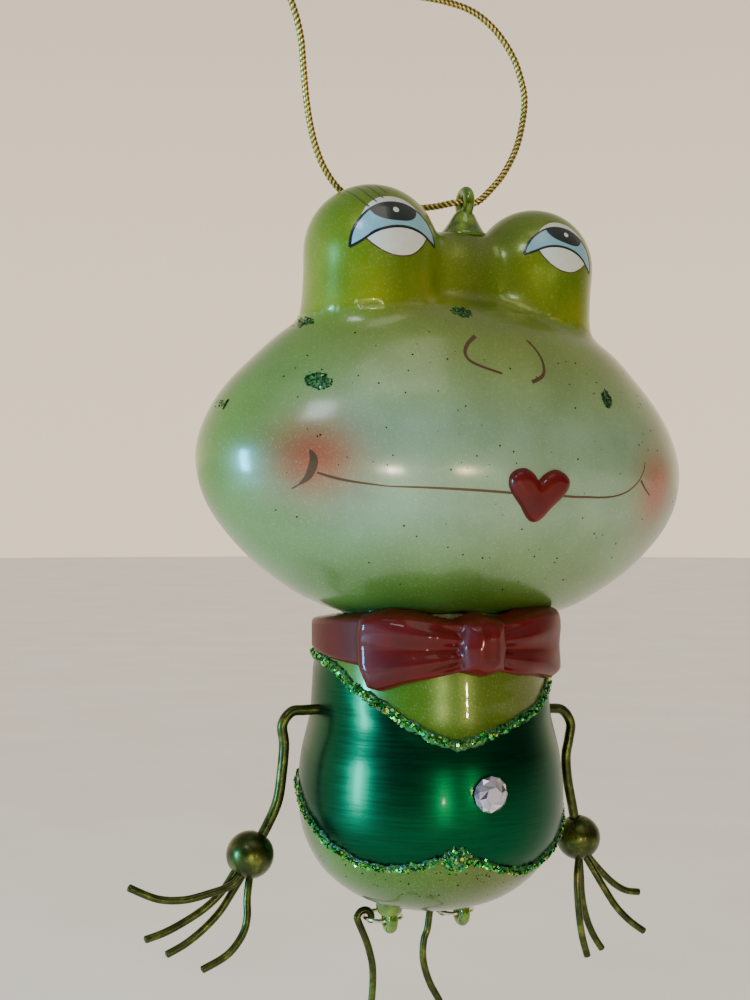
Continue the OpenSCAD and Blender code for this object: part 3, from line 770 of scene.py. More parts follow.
class FROG_OT_stage(bpy.types.Operator):
    """Camera, floor, sky and lights."""

    bl_idname = "frog.stage"
    bl_label = "Stage"

    def execute(self, context):
        scene = context.scene
        turn = math.radians(CAMERA_TURN)
        back = Vector((math.sin(turn), -math.cos(turn), 0))
        right = Vector((math.cos(turn), math.sin(turn), 0))
        target = in_torso((0, 0, 19.6)) - right * 9.6 * MM
        lens = bpy.data.cameras.new("camera")
        lens.lens = 57.6
        lens.sensor_width = 36
        lens.clip_start = 0.01
        lens.clip_end = 20
        camera = bpy.data.objects.new("camera", lens)
        camera.location = target + back * CAMERA_AWAY
        camera.rotation_euler = (-back).to_track_quat("-Z", "Y").to_euler()
        scene.collection.objects.link(camera)
        scene.camera = camera

        floor = bmesh.new()
        bmesh.ops.create_circle(floor, cap_ends=True, segments=96, radius=4)
        bmesh.ops.translate(floor, verts=floor.verts, vec=(0, 0, CAD_BOX[0][2] - 0.004))
        mesh = as_mesh("floor", floor)
        paper, tree, shader = surface("back_lit_white_acrylic_floor", Roughness=0.85, Emission_Strength=0.5)
        tone = ramp(tree, grain(tree, 60, 2), [(0.3, "#ece2d2"), (0.7, "#f2e9da")])
        for socket in ("Base Color", "Emission Color"):
            tree.links.new(tone.outputs[0], shader.inputs[socket])
        mesh.materials.append(paper)
        obj = bpy.data.objects.new("floor", mesh)
        scene.collection.objects.link(obj)

        world = bpy.data.worlds.new("soft_room")
        scene.world = world
        world.use_nodes = True
        tree = world.node_tree
        sky = tree.nodes["Background"]
        way = add(tree, "ShaderNodeSeparateXYZ", None, {0: (add(tree, "ShaderNodeTexCoord"), "Generated")})
        behind = add(tree, "ShaderNodeMapRange", {"interpolation_type": "SMOOTHSTEP"},
                     {"Value": (way, "Y"), "From Min": -0.35, "From Max": 0.75})
        wall = mixed(tree, (behind, 0), linear("#2e2d2a"), linear("#f8e3c4"))
        high = add(tree, "ShaderNodeMapRange", {"interpolation_type": "SMOOTHSTEP"},
                   {"Value": (way, "Z"), "From Min": 0.0, "From Max": 0.9})
        tree.links.new(mixed(tree, (high, 0), (wall, 2), linear("#8e8a84")).outputs[2], sky.inputs["Color"])
        sky.inputs["Strength"].default_value = 1.42

        middle = in_torso((0, 0, 0))

        def area(name, away, size, power, colour, tall=1.0):
            """A soft light that far from the neck, turned to it."""
            data = bpy.data.lights.new(name, "AREA")
            data.shape = "RECTANGLE"
            data.size, data.size_y = size, size * tall
            data.energy = power
            data.color = linear(colour)[:3]
            light = bpy.data.objects.new(name, data)
            light.location = middle + away
            light.rotation_euler = away.to_track_quat("Z", "Y").to_euler()
            scene.collection.objects.link(light)

        up = Vector((0, 0, 1))
        area("window", back * 0.24 - right * 0.5, 0.07, 3.6, "#58ccff", 2.4)
        area("ceiling", back * 0.3 + right * 0.1 + up * 0.6, 0.3, 0.45, "#fff6ea")
        area("lamp", back * 0.60 + right * 0.10 - up * 0.05, 0.018, 0.65, "#ffeccb")
        area("bulb", back * 0.46 + right * 0.30 - up * 0.02, 0.012, 0.3, "#ffe2b0")
        area("fill", back * 0.35 - right * 0.15 + up * 0.35, 0.10, 0.35, "#eef4ff")
        return {"FINISHED"}


class FROG_OT_cord(bpy.types.Operator):
    """The twisted gold hanging cord and its knot."""

    bl_idname = "frog.cord"
    bl_label = "Hanging cord"

    def execute(self, context):
        diameter = context.scene.frog_sizes.cord_d
        line = [p * MM for p in smooth(CORD_ROUTE, 18)]
        lay = 2.6 * MM  # one full turn of the three strands
        along = [0.0]
        for a, b in zip(line, line[1:]):
            along.append(along[-1] + (b - a).length)

        def strand(i, a):
            return diameter / 2 * (0.86 + 0.14 * math.cos(3 * (a - math.tau * along[i] / lay)))

        bm = swept(line, strand, 18)
        mesh = as_mesh("cord_twist", bm)
        # painted shade along the twist: 1 on the crowns of the strands, 0 down in the grooves between them
        layer = mesh.attributes.new("crown", "FLOAT", "POINT")
        for i in range(len(mesh.vertices)):
            ring, k = divmod(i, 18)
            layer.data[i].value = 0.5 + 0.5 * math.cos(3 * (math.tau * k / 18 - math.tau * along[ring] / lay))
        cord = finish_piece("cord_twist", mesh, "cord", [material("gold")], ["hanging_cord"])

        knot = bmesh.new()
        turns = []
        for t in (math.tau * 2 * k / 90 for k in range(91)):
            wide = 1.25 * (1 + 0.35 * math.cos(1.5 * t))
            turns.append((KNOT + Vector((wide * math.cos(t), math.sin(1.5 * t), wide * math.sin(t)))) * MM)
        tails = [[(-33.9, 0.4, 39.4), (-35.2, 0.2, 41.4), (-36.6, 0.3, 43.2)],
                 [(-34.2, 1.2, 39.2), (-36.2, 1.5, 40.6), (-38.3, 1.3, 41.4)]]
        for route in (turns, *([p * MM for p in smooth(t, 12)] for t in tails)):
            swept(route, lambda i, a: diameter * 0.44 * (0.9 + 0.1 * math.cos(3 * a - i * 0.35)), 12, knot)
        knot_mesh = as_mesh("cord_knot_tied", knot)
        # the same painted shade along the knot's strands
        crowns = knot_mesh.attributes.new("crown", "FLOAT", "POINT")
        for i in range(len(knot_mesh.vertices)):
            crowns.data[i].value = 0.5 + 0.5 * math.cos(3 * math.tau * (i % 12) / 12 - (i // 12) * 0.35)
        tied = finish_piece("cord_knot_tied", knot_mesh, "cord", [material("gold")],
                            ["cord_knot"])
        tuple(line[0])
        [tuple(p) for p in line]
        return {"FINISHED"}


def above_seam(p):
    """How far a place in the head's frame is above the line where the glossy domes start."""
    sag = 51.9 - ((abs(p.x + 0.4) / 27) ** 3) * 3.4 + (p.y + 14) * 0.10
    return p.z - sag if abs(p.x) < 31 else -9


def head_paint(place, lime, mint):
    """The colours of the head at a place in the row's frame, between its two main colours: sprayed paint and
    blush, with painted side light on the left, a painted glow low on the domes and painted shade between
    them.
    """
    p = HEAD.inverted() @ (place / MM + EYE)
    up = (p.z - HEAD_MID.z) / HEAD_HALF.z
    aside = abs(p.x) / HEAD_HALF.x
    base = mix3(mint, lime, (up - 0.18) / 0.62)
    # painted side light: the left side is tinted a deeper lime than the right, as lit from that side
    base = mix3(base, hexed(HEAD_PAINT_AND_LIGHT["side"]),
                max(0.0, (aside - 0.55) / 0.45) * (0.95 if p.x < 0 else 0.15))
    # the head goes darker green towards its underside and darker olive towards the back
    base = mix3(base, hexed(HEAD_PAINT_AND_LIGHT["chin"]), max(0.0, (-0.3 - up) / 0.45))
    base = mix3(base, hexed(HEAD_PAINT_AND_LIGHT["back"]), max(0.0, p.y / HEAD_HALF.y) * 0.35)
    seam = above_seam(p)
    if seam > -0.8:
        # painted glow: the lower part of each dome is painted a brighter yellow in uneven patches, standing
        # for light from the silvered inside
        painted_glow = 0.5 + 0.5 * noise.noise(p * 0.16)
        dome = mix3(hexed(HEAD_PAINT_AND_LIGHT["dome"]), hexed(HEAD_PAINT_AND_LIGHT["dome_low_glow"]),
                    painted_glow * 0.6 + max(0.0, (60 - p.z) / 14) * 0.5)
        # painted shade: the groove between the domes is painted a duller, darker olive
        dome = mix3(dome, hexed(HEAD_PAINT_AND_LIGHT["shade_between_domes"]), max(0.0, 1 - abs(p.x - 0.8) / 7) * 0.8)
        base = mix3(base, dome, (seam + 0.8) / 1.6)
    for x, z, wide, tall, power in BLUSH:
        d = math.hypot((p.x - FACE_X - x) / wide, (p.z - z) / tall)
        if p.y < 0:
            base = mix3(base, hexed(HEAD_PAINT_AND_LIGHT["blush"]), power * math.exp(-d * d * 1.1))
    return base


class FROG_OT_head(bpy.types.Operator):
    """The head: one glass bubble with two eye domes, blown together."""

    bl_idname = "frog.head"
    bl_label = "Head"

    def execute(self, context):
        line = smooth([Vector((r * HEAD_HALF.x, z * 2 * HEAD_HALF.z, 0)) for r, z in HEAD_LINE], 5)
        bm = revolve([(max(p.x, 0), p.y) for p in line], 160)
        flat = Matrix.Translation(HEAD_MID) @ Matrix.Diagonal((1, HEAD_HALF.y / HEAD_HALF.x, 1, 1))
        bmesh.ops.transform(bm, verts=bm.verts, matrix=flat)
        for (centre, r), root in ((LEFT_DOME, 16), (RIGHT_DOME, 16), (CROWN, 9)):
            wide = Matrix.Diagonal((1.18, 0.8, 1, 1)) if r == CROWN[1] else Matrix.Identity(4)
            bmesh.ops.create_icosphere(bm, subdivisions=6, radius=r, matrix=Matrix.Translation(centre) @ wide)
            bmesh.ops.create_cone(bm, cap_ends=True, segments=96, radius1=r - 0.1, radius2=r - 0.35,
                                  depth=root,
                                  matrix=Matrix.Translation(centre - Vector((0, 0, root / 2))) @ wide)
        bmesh.ops.transform(bm, verts=bm.verts, matrix=Matrix.Scale(MM, 4) @ Matrix.Translation(-EYE) @ HEAD)
        blown = fused("head_forms", bm, 0.75 * MM)

        bm = bmesh.new()
        bm.from_mesh(blown)
        bpy.data.meshes.remove(blown)
        soften(bm, 20, 0.5)
        cut = bmesh.ops.bisect_plane(bm, geom=bm.verts[:] + bm.edges[:] + bm.faces[:], dist=1e-6,
                                     plane_co=in_torso((0, 0, 0.2)), plane_no=(0, 0, 1), clear_inner=True)
        rim = [e for e in cut["geom_cut"] if isinstance(e, bmesh.types.BMEdge)]
        bmesh.ops.contextual_create(bm, geom=rim)
        bmesh.ops.recalc_face_normals(bm, faces=bm.faces)
        back = HEAD.inverted()
        high = {v: above_seam(back @ (v.co / MM + EYE)) for v in bm.verts}
        bmesh.ops.triangulate(bm, faces=[f for f in bm.faces if min(abs(high[v]) for v in f.verts) < 1.5])
        bm.normal_update()
        for v, h in high.items():  # points near the line where the gloss starts are slid onto it
            slope = Vector((0, 0, 1)) - v.normal * v.normal.z
            if abs(h) < 0.6 and slope.z > 0.2:
                v.co -= slope * (h / slope.z) * MM
        for f in bm.faces:
            f.material_index = int(above_seam(back @ (f.calc_center_median() / MM + EYE)) > 0)
        mesh = as_mesh("head_glass", bm)
        colours = context.scene.frog_colours
        lime, mint = list(colours.lime), list(colours.mint)
        paint_attribute(mesh, lambda place: head_paint(place, lime, mint))
        finish_piece("head_glass", mesh, "frog", [material("frosted"), material("glossy")],
                     ["head_shell"])
        keep_surface("head", mesh)
        return {"FINISHED"}


def torso_profile(steps, grow=0.0):
    """The torso's half outline as (radius, height), in the torso's frame."""
    line = smooth([Vector((r * TORSO_R, -z * TORSO_H, 0)) for r, z in TORSO_LINE], steps)
    return [(max(p.x + grow * min(1, p.x / 5), 0), p.y) for p in line]


class FROG_OT_torso(bpy.types.Operator):
    """The torso bubble, the lacquer waistcoat on it and the glue at the neck."""

    bl_idname = "frog.torso"
    bl_label = "Torso and waistcoat"

    def execute(self, context):
        profile = [(10, -0.2)] + torso_profile(8)
        bm = revolve([(r * MM, z * MM) for r, z in profile], 128)
        bmesh.ops.translate(bm, verts=bm.verts, vec=-EYE * MM)
        mesh = as_mesh("torso_glass", bm)

        def tone(place):
            p = place / MM + EYE
            gold, green, deep = (hexed(TORSO_SPRAY[k]) for k in ("gold", "green", "deep"))
            base = mix3(gold, green, 0.5 - p.x / 34)
            # the torso goes darker towards the bottom
            return mix3(base, deep, max(0.0, (-40 - p.z) / 12) * 0.7)

        paint_attribute(mesh, tone)
        finish_piece("torso_glass", mesh, "frog", [material("glossy")], ["torso_shell"])
        keep_surface("torso", mesh)

        coat = bmesh.new()
        around, rows = 180, 40
        grid = []
        for j in range(rows + 1):
            grid.append([])
            for i in range(around):
                angle = -180 + 360 * i / around
                top, low = height_at(NECK_LINE, angle), height_at(HEM_LINE, angle)
                t = j / rows
                lift = 0.28 * min(1.0, 8 * t + 0.1, 8 * (1 - t) + 0.1)
                grid[-1].append(coat.verts.new(on_torso(angle, top + (low - top) * t, lift)))
        for j in range(rows):
            for i in range(around):
                k = (i + 1) % around
                coat.faces.new((grid[j][i], grid[j + 1][i], grid[j + 1][k], grid[j][k]))
        coat.normal_update()
        face_out(coat, in_torso((0, 0, -25)))
        piece("waistcoat_lacquer", coat, "frog", [material("emerald")], ["waistcoat"])

        seam = bmesh.new()
        rnd = random.Random(3)
        wobble = [rnd.uniform(0.75, 1.3) for _ in range(40)]
        line = [in_torso((15.6 * math.cos(a), 13.4 * math.sin(a), -0.1)) for a in round_angles(120)]
        swept(line, lambda i, a: 0.62 * MM * wobble[(i // 3) % 40], 10, seam)
        piece("neck_glue", seam, "frog", [material("seam")], ["neck_seam"])
        return {"FINISHED"}


class FROG_OT_hanger(bpy.types.Operator):
    """The glass eye on the crown and the two glass lugs under the torso."""

    bl_idname = "frog.hanger"
    bl_label = "Glass eye and lugs"

    def execute(self, context):
        def drawn_loop(name, centre, tall, wide, rod, foot, place, replaces):
            """A rod of soft glass drawn into a loop with a flared foot, its hole along X."""
            line = [Vector((0, wide * math.sin(a), tall * math.cos(a))) for a in round_angles(48)]
            bm = swept(line, lambda i, a: rod, 20)
            way = 1 if foot[-1][1] > foot[0][1] else -1
            stem = revolve([(0, foot[0][1] - 0.01 * way)] + foot + [(0, foot[-1][1] + 0.01 * way)], 40)
            bm.from_mesh(as_mesh(name + "_stem", stem))
            for v in bm.verts:
                v.co = place(centre + v.co)
            mesh = fused(name + "_forms", bm, 0.14 * MM, softenings=10)
            finish_piece(name, mesh, "frog", [material("glass")], replaces)

        bell = [(4.3, -6.2), (4.1, -5.6), (3.4, -4.7), (2.8, -3.8), (2.3, -2.9), (1.9, -2.2), (1.5, -1.7)]
        drawn_loop("glass_eye", HOOK_EYE, 1.95, 1.75, 1.0, bell, in_head, ["hanger_eye"])
        drop = [(2.3, 4.6), (2.45, 3.4), (2.4, 2.4), (2.2, 1.6), (1.7, 1.0)]
        for side, x in zip(("left", "right"), LUG_X):
            drawn_loop(f"{side}_lug", Vector((x, LUG_Y, LUG_Z)), 1.35, 1.3, 1.0, drop, in_torso,
                       [f"{side}_leg_lug"])
        return {"FINISHED"}


# Outlines of an eye decal, to the right and up from its middle
EYE_OUTER = [(-8, -2.5), (-7.5, -0.6), (-6.3, 1.3), (-4.2, 3.1), (-2, 4.05), (0.2, 4.3), (2.4, 3.95),
             (4.6, 2.9), (6.5, 1.1), (7.6, -0.8), (8.1, -2.6)]
EYE_INNER = [(-8, -2.5), (-6.2, -1.9), (-4, -0.8), (-2, -0.3), (0.2, -0.15), (2.4, -0.4), (4.4, -1.0),
             (6.3, -1.9), (8.1, -2.6)]
EYE_CAP = [(-5.7, 2.0), (-4.3, 3.9), (-2.4, 5.3), (-0.2, 5.75), (2, 5.4), (3.8, 4.2), (5.2, 2.4)]
EYE_PUPIL = [(-3.9, 3.25), (-3.3, 2.1), (-2.0, 1.25), (-0.2, 0.85), (1.8, 0.8), (3.2, 1.3), (4.0, 2.2),
             (4.3, 3.1)]
EYE_LOWER = [(-5.4, -1.5), (-4.2, -2.8), (-2.4, -4.1), (-0.2, -4.75), (2.2, -4.5), (4.2, -3.2), (5.6, -1.6)]


class FROG_OT_eyes(bpy.types.Operator):
    """The printed eyes on the domes."""

    bl_idname = "frog.eyes"
    bl_label = "Eye decals"

    def execute(self, context):
        inks = [material(k) for k in ("white", "blue", "black", "brown")]
        for side, dome, facing, roll, scale in (
            ("left", LEFT_DOME, (0.6, 15), 7, 1.09),
            ("right", RIGHT_DOME, (5.3, 15.4), -8, 0.93),
        ):
            def wrap(u, v, lift):
                return on_dome(dome, facing, roll, u * scale, v * scale, lift)

            def arc(points, steps=6):
                return [tuple(p.xy) for p in smooth([(*q, 0) for q in points], steps)]

            bm = bmesh.new()
            outer, inner = arc(EYE_OUTER), arc(EYE_INNER)
            top = [q for q in outer if -5.7 <= q[0] <= 5.2]
            patch(bm, arc(EYE_CAP) + top[::-1], wrap, 0.03, 0)
            patch(bm, outer + inner[-2:0:-1], wrap, 0.05, 1)
            under = [q for q in inner if -5.4 < q[0] < 5.6]
            patch(bm, under + arc(EYE_LOWER)[::-1], wrap, 0.04, 0)
            pupil_top = [q for q in outer if -3.9 < q[0] < 4.3]
            patch(bm, pupil_top + arc(EYE_PUPIL)[::-1], wrap, 0.07, 2)
            glint = [(0.3 + 0.5 * math.cos(a), 2.75 + 0.5 * math.sin(a)) for a in round_angles(20)[:-1]]
            patch(bm, glint, wrap, 0.10, 0, 0.4)
            stroke(bm, EYE_OUTER, wrap, lambda t: 0.5 - 0.14 * math.sin(math.pi * t), 0.11, 2)
            stroke(bm, EYE_INNER, wrap, lambda t: 0.48, 0.11, 2)
            stroke(bm, EYE_LOWER, wrap, lambda t: 0.24, 0.08, 3)
            bm.normal_update()
            face_out(bm, in_head(dome[0]))
            piece(f"{side}_eye_print", bm, "frog", inks, [f"{side}_eye_decal"])
        return {"FINISHED"}


class FROG_OT_face(bpy.types.Operator):
    """Brush strokes on the head: mouth, nose and lashes."""

    bl_idname = "frog.face"
    bl_label = "Brushed face"

    def execute(self, context):
        bm = bmesh.new()
        mouth = [(-31.2, 22.4), (-29.1, 21.8), (-26.5, 21.3), (-22.4, 20.9), (-19.7, 20.8), (-13.8, 20.9),
                 (-6.2, 20.9), (0.1, 20.8)]
        right = [(7, 20.9), (11, 20.8), (14, 20.9), (17, 21), (19.7, 21.3), (22, 21.9), (23.7, 22.7),
                 (25.6, 24.2), (26.8, 26), (27.2, 27.6)]
        stroke(bm, mouth, on_face, lambda t: 0.34 + 0.1 * math.sin(9 * t), 0.03, 0)
        stroke(bm, right, on_face, lambda t: 0.42 - 0.24 * t, 0.03, 0)
        stroke(bm, [(26.2, 24.4), (27.4, 23.2), (29, 22)], on_face, lambda t: 0.5 - 0.25 * t, 0.035, 0)
        stroke(bm, [(-32.4, 25.9), (-31.9, 24.9), (-31.8, 23.8), (-32.2, 22), (-33, 20.8), (-34.3, 19.7)],
               on_face, lambda t: 0.25 + 1.0 * math.sin(math.pi * min(1, t * 1.15)) ** 0.8, 0.035, 0)
        stroke(bm, [(-4.6, 46.4), (-6.2, 45), (-7.1, 43.4), (-6.6, 42), (-4.6, 41.1), (-1.3, 40.2)], on_face,
               lambda t: 0.66 - 0.24 * t, 0.035, 0)
        stroke(bm, [(5, 46.6), (6.3, 45), (7, 43.3), (6.9, 41.4), (6, 40.2), (4, 39.2)], on_face,
               lambda t: 0.36 + 0.3 * t, 0.035, 0)
        for lash in ([(-23.4, 70.4), (-22.9, 69.2), (-22.3, 68.1), (-21.4, 67)],
                     [(-21.8, 71.2), (-21.3, 69.9), (-20.7, 68.9), (-20, 68)],
                     [(-20.3, 71.6), (-19.9, 70.6), (-19.4, 69.7), (-18.7, 68.9)],
                     [(-18.6, 71.9), (-18.3, 71), (-17.8, 70.1)]):
            stroke(bm, lash, on_face, lambda t: 0.16 + 0.22 * t, 0.05, 1)
        bm.normal_update()
        face_out(bm, in_head((0, 6, 34)))
        piece("brushed_face", bm, "frog", [material("brown"), material("lash")])

        heart = [p.xy for p in smooth([Vector((x, z, 0)) for x, z in (
            (-0.1, 2.5), (-1.1, 3.6), (-2.6, 4.3), (-4.3, 4.0), (-5.4, 2.9), (-5.4, 1.4), (-4.4, -0.2),
            (-2.9, -1.8), (-1.4, -3.6),
            (-0.1, -4.3), (1.3, -3.6), (2.8, -1.8), (4.5, -0.1), (5.6, 1.5), (5.6, 3.0), (4.4, 4.1),
            (2.7, 4.4), (1.0, 3.6), (-0.1, 2.5))], 3)][:-1]

        def heart_height(u, v):
            x, z = u - 4.2, v - 20.6
            d = inside_by((x, z), heart)
            h = pillow(d, 1.9, 1.6, 1.0, 5)
            if d > 0:
                h -= 0.35 * math.exp(-((x + 0.1) / 0.7) ** 2) * max(0.0, min(1.0, (z + 1) / 4))
            return h

        lips = relief((-2, 15.4), (10.6, 25.8), 0.2, heart_height, on_face, 0.9)
        soften(lips, 2, 0.4)
        lips.normal_update()
        face_out(lips, in_head((4, 0, 20)))
        piece("heart_enamel", lips, "frog", [material("red")], ["heart_lips"])
        return {"FINISHED"}


BOW_R = 20.9  # the enamel lies this far from the torso's axis


class FROG_OT_bow(bpy.types.Operator):
    """The bow tie: enamel laid thick over moulded folds."""

    bl_idname = "frog.bow"
    bl_label = "Bow tie"

    def execute(self, context):
        def wrap(u, v, lift):
            a = u / BOW_R
            return in_torso(((BOW_R + lift - 0.9) * math.sin(a), -(BOW_R + lift - 0.9) * math.cos(a), v))

        left = [(-3.2, -0.6), (-7, 0), (-12, 1.0), (-16.5, 1.4), (-20.6, 0.9), (-21.4, -3), (-21, -7.6),
                (-19.3, -11.4), (-17, -11.8), (-12.6, -10.4), (-8, -9.4), (-3.2, -8.4)]
        right = [(3.2, -0.6), (7, -0.1), (12, 0.9), (16, 1.4), (20.6, 1.5), (21.6, -2), (21.8, -6.6),
                 (20.8, -10.6), (17.6, -10.9), (12.6, -10), (8, -9.6), (3.2, -8.6)]
        band = [(-37, -0.4), (-20, 0.6), (-20, -8), (-30, -7), (-37, -6)]
        other = [(20, 0.8), (37, -0.4), (37, -6), (30, -7), (20, -8)]
        knot = [(-3.4, -0.1), (0, 0.7), (3.8, 0), (4.3, -4.4), (3.8, -8.6), (0.2, -9.4), (-3.6, -8.6),
                (-4.2, -4.4)]

        def height(u, v):
            best = -3.2
            for k, outline in enumerate((left, right)):
                d = inside_by((u, v), outline)
                side = -u if k == 0 else u
                h = pillow(d, 1.9, 3.0, 3.2, 9)
                if d > 0:
                    fan = (v + 4.6) / max(3.0, 3.4 + 0.34 * (side - 4))
                    fold = 0.5 + 0.5 * math.cos(fan * 7.4 + (0.6 if k else 0))
                    near = max(0.0, 1 - (side - 3) / 15)
                    h -= (0.25 + 0.95 * near) * fold * min(1.0, d / 1.2)
                    h -= 0.9 * math.exp(-(((side - 5) / 2.4) ** 2)) * min(1, d)
                best = max(best, h)
            for outline in (band, other):
                best = max(best, pillow(inside_by((u, v), outline), 1.2, 1.1, 3.2, 9))
            d = inside_by((u, v), knot)
            round_off = pillow(d, 3.4, 4.1, 3.2, 9)
            if d > 0:
                round_off -= 0.22 * (0.5 + 0.5 * math.cos(u * 2.6)) * min(1, d / 1.5)
            return max(best, round_off)

        bm = relief((-37.6, -12.6), (37.6, 3.0), 0.24, height, wrap, 3.1)
        soften(bm, 2, 0.4)
        bm.normal_update()
        face_out(bm, in_torso((0, 0, -4)))
        piece("bow_enamel", bm, "frog", [material("red")], ["bow_tie"])
        return {"FINISHED"}


FLAKE_COLOURS = ["#1c7a2a", "#2a9c3c", "#0f5a1e", "#4cb04a", "#7fb83a", "#b4c050", "#1c9c5c", "#62d080"]


def flakes(bm, layer, place, normal, size, rnd, tilt=0.75, tones=FLAKE_COLOURS):
    """One six-sided flake of foil, tilted at random, with a colour of its own."""
    lean = Vector((rnd.gauss(0, 1), rnd.gauss(0, 1), rnd.gauss(0, 1))) * tilt
    out = (normal + lean * 0.6).normalized()
    side = out.orthogonal().normalized()
    up = out.cross(side)
    turn = rnd.uniform(0, math.tau)
    colour = linear(rnd.choice(tones))
    verts = []
    for k in range(6):
        a = turn + math.tau * k / 6
        vertex = bm.verts.new(place + (side * math.cos(a) + up * math.sin(a)) * size)
        vertex[layer] = colour
        verts.append(vertex)
    bm.faces.new(verts)


def glitter_band(name, line, wrap, width, height, rnd, per_mm, replaces):
    """A bead of glitter glue along a line on a surface, with loose flakes bedded in it."""
    glue = bmesh.new()
    sizes = [rnd.uniform(0.72, 1.25) for _ in range(400)]
    rows = []
    for i, (u, v) in enumerate(line):
        a, b = line[max(i - 1, 0)], line[min(i + 1, len(line) - 1)]
        pa, pb = wrap(*a, 0), wrap(*b, 0)
        ahead = (pb - pa).normalized()
        low, up = wrap(u, v, 0), wrap(u, v, 1)
        out = (up - low).normalized()
        side = ahead.cross(out).normalized()
        w = width * sizes[(i // 3) % 400] / 2 * MM
        h = height * sizes[(i // 4 + 57) % 400] * MM
        rows.append([glue.verts.new(low + side * w * math.cos(t) + out * (h * math.sin(t) - 0.12 * MM))
                     for t in (math.pi * k / 8 for k in range(9))])
    for a, b in zip(rows, rows[1:]):
        for k in range(8):
            glue.faces.new((a[k], a[k + 1], b[k + 1], b[k]))
    glue.normal_update()
    face_out(glue, in_torso((0, 0, -25)))
    bed = piece(name + "_glue", glue, "frog", [material("glue")], replaces)

    foil = bmesh.new()
    layer = foil.verts.layers.float_color.new("paint")
    for i in range(len(line) - 1):
        here, there = wrap(*line[i], 0), wrap(*line[i + 1], 0)
        out = (wrap(*line[i], 1) - here).normalized()
        side = (there - here).normalized().cross(out).normalized()
        step = (there - here).length / MM
        for _ in range(max(1, round(step * per_mm))):
            t = rnd.gauss(0, 0.42)
            t = max(-1.15, min(1.15, t))
            rise = height * math.sqrt(max(0.05, 1 - t * t)) * rnd.uniform(0.85, 1.25)
            where = here.lerp(there, rnd.random()) + side * (t * width / 2 * MM) + out * rise * MM
            flakes(foil, layer, where, (out + side * t * 0.7).normalized(), rnd.uniform(0.16, 0.34) * MM, rnd)
    piece(name + "_flakes", foil, "frog", [material("flake")], shade=False)
    return bed


class FROG_OT_glitter(bpy.types.Operator):
    """Glitter trims on the waistcoat, the tuft at its hem and the spots on the head."""

    bl_idname = "frog.glitter"
    bl_label = "Glitter"

    def execute(self, context):
        rnd = random.Random(11)
        per_mm = context.scene.frog_sizes.flakes
        for name, heights, width, node in (("neckline", NECK_LINE, 1.75, "neckline_trim"),
                                           ("hem", HEM_LINE, 1.3, "hem_trim")):
            around = [-180 + 360 * k / 420 for k in range(421)]
            line = [(a, height_at(heights, a) + rnd.uniform(-0.14, 0.14)) for a in around]
            glitter_band(name, line, on_torso, width, 0.75, rnd, per_mm, [node])

        def blob(name, wrap, centre, half, height, count, replaces, body_centre, grain_mm=(0.16, 0.32),
                 lean=0.75, tones=FLAKE_COLOURS):
            def bed_height(u, v):
                away = math.hypot((u - centre[0]) / half[0], (v - centre[1]) / half[1])
                ragged = 1 + 0.25 * noise.noise(Vector((u * 1.1, v * 1.1, 3)))
                return height * (1.1 - away * ragged) - 0.02

            low, high = ([centre[k] + side * half[k] * 1.4 for k in (0, 1)] for side in (-1, 1))
            bed = relief(low, high, 0.3, bed_height, wrap)
            bed.normal_update()
            face_out(bed, body_centre)
            piece(name + "_glue", bed, "frog", [material("glue")], replaces)
            foil = bmesh.new()
            layer = foil.verts.layers.float_color.new("paint")
            for _ in range(count):
                r, a = math.sqrt(rnd.random()) * 1.05, rnd.uniform(0, math.tau)
                u, v = centre[0] + half[0] * r * math.cos(a), centre[1] + half[1] * r * math.sin(a)
                place = wrap(u, v, max(0.05, height * (1.1 - r)) * rnd.uniform(0.9, 1.2))
                out = (wrap(u, v, 1) - wrap(u, v, 0)).normalized()
                flakes(foil, layer, place, out, rnd.uniform(*grain_mm) * MM, rnd, lean, tones)
            piece(name + "_flakes", foil, "frog", [material("flake")], shade=False)

        torso_mid, head_mid = in_torso((0, 0, -25)), in_head((0, 0, 30))
        blob("hem_tuft", on_torso, TUFT, (5.6, 2.2), 1.9, 260, ["hem_tuft"], torso_mid)
        for k, (x, z, wide, tall) in enumerate(SPOTS):
            blob(f"spot_{k + 1}", on_face, (x, z), (wide, tall), 0.1, 110,
                 ["head_glitter"] if k == 0 else (), head_mid, (0.1, 0.24), 0.3, SPOT_TONES)

        dust = bmesh.new()
        layer = dust.verts.layers.float_color.new("paint")
        for _ in range(150):
            x, z = rnd.uniform(-38, 38), rnd.uniform(4, 52)
            if (x / 42) ** 2 + ((z - 26.2) / 27) ** 2 > 0.95:
                continue
            place, out = on_face(x, z, 0.05), (on_face(x, z, 1) - on_face(x, z, 0)).normalized()
            flakes(dust, layer, place, out, rnd.uniform(0.07, 0.17) * MM, rnd, 0.2)
        for _ in range(120):
            a, z = rnd.gauss(0, 60), -39 - abs(rnd.gauss(0, 4))
            place, out = on_torso(a, z, 0.05), (on_torso(a, z, 1) - on_torso(a, z, 0)).normalized()
            flakes(dust, layer, place, out, rnd.uniform(0.07, 0.18) * MM, rnd, 0.2)
        for vertex in dust.verts:
            vertex[layer] = linear(STRAY_TONE)
        piece("stray_glitter", dust, "frog", [material("flake")], shade=False)
        return {"FINISHED"}


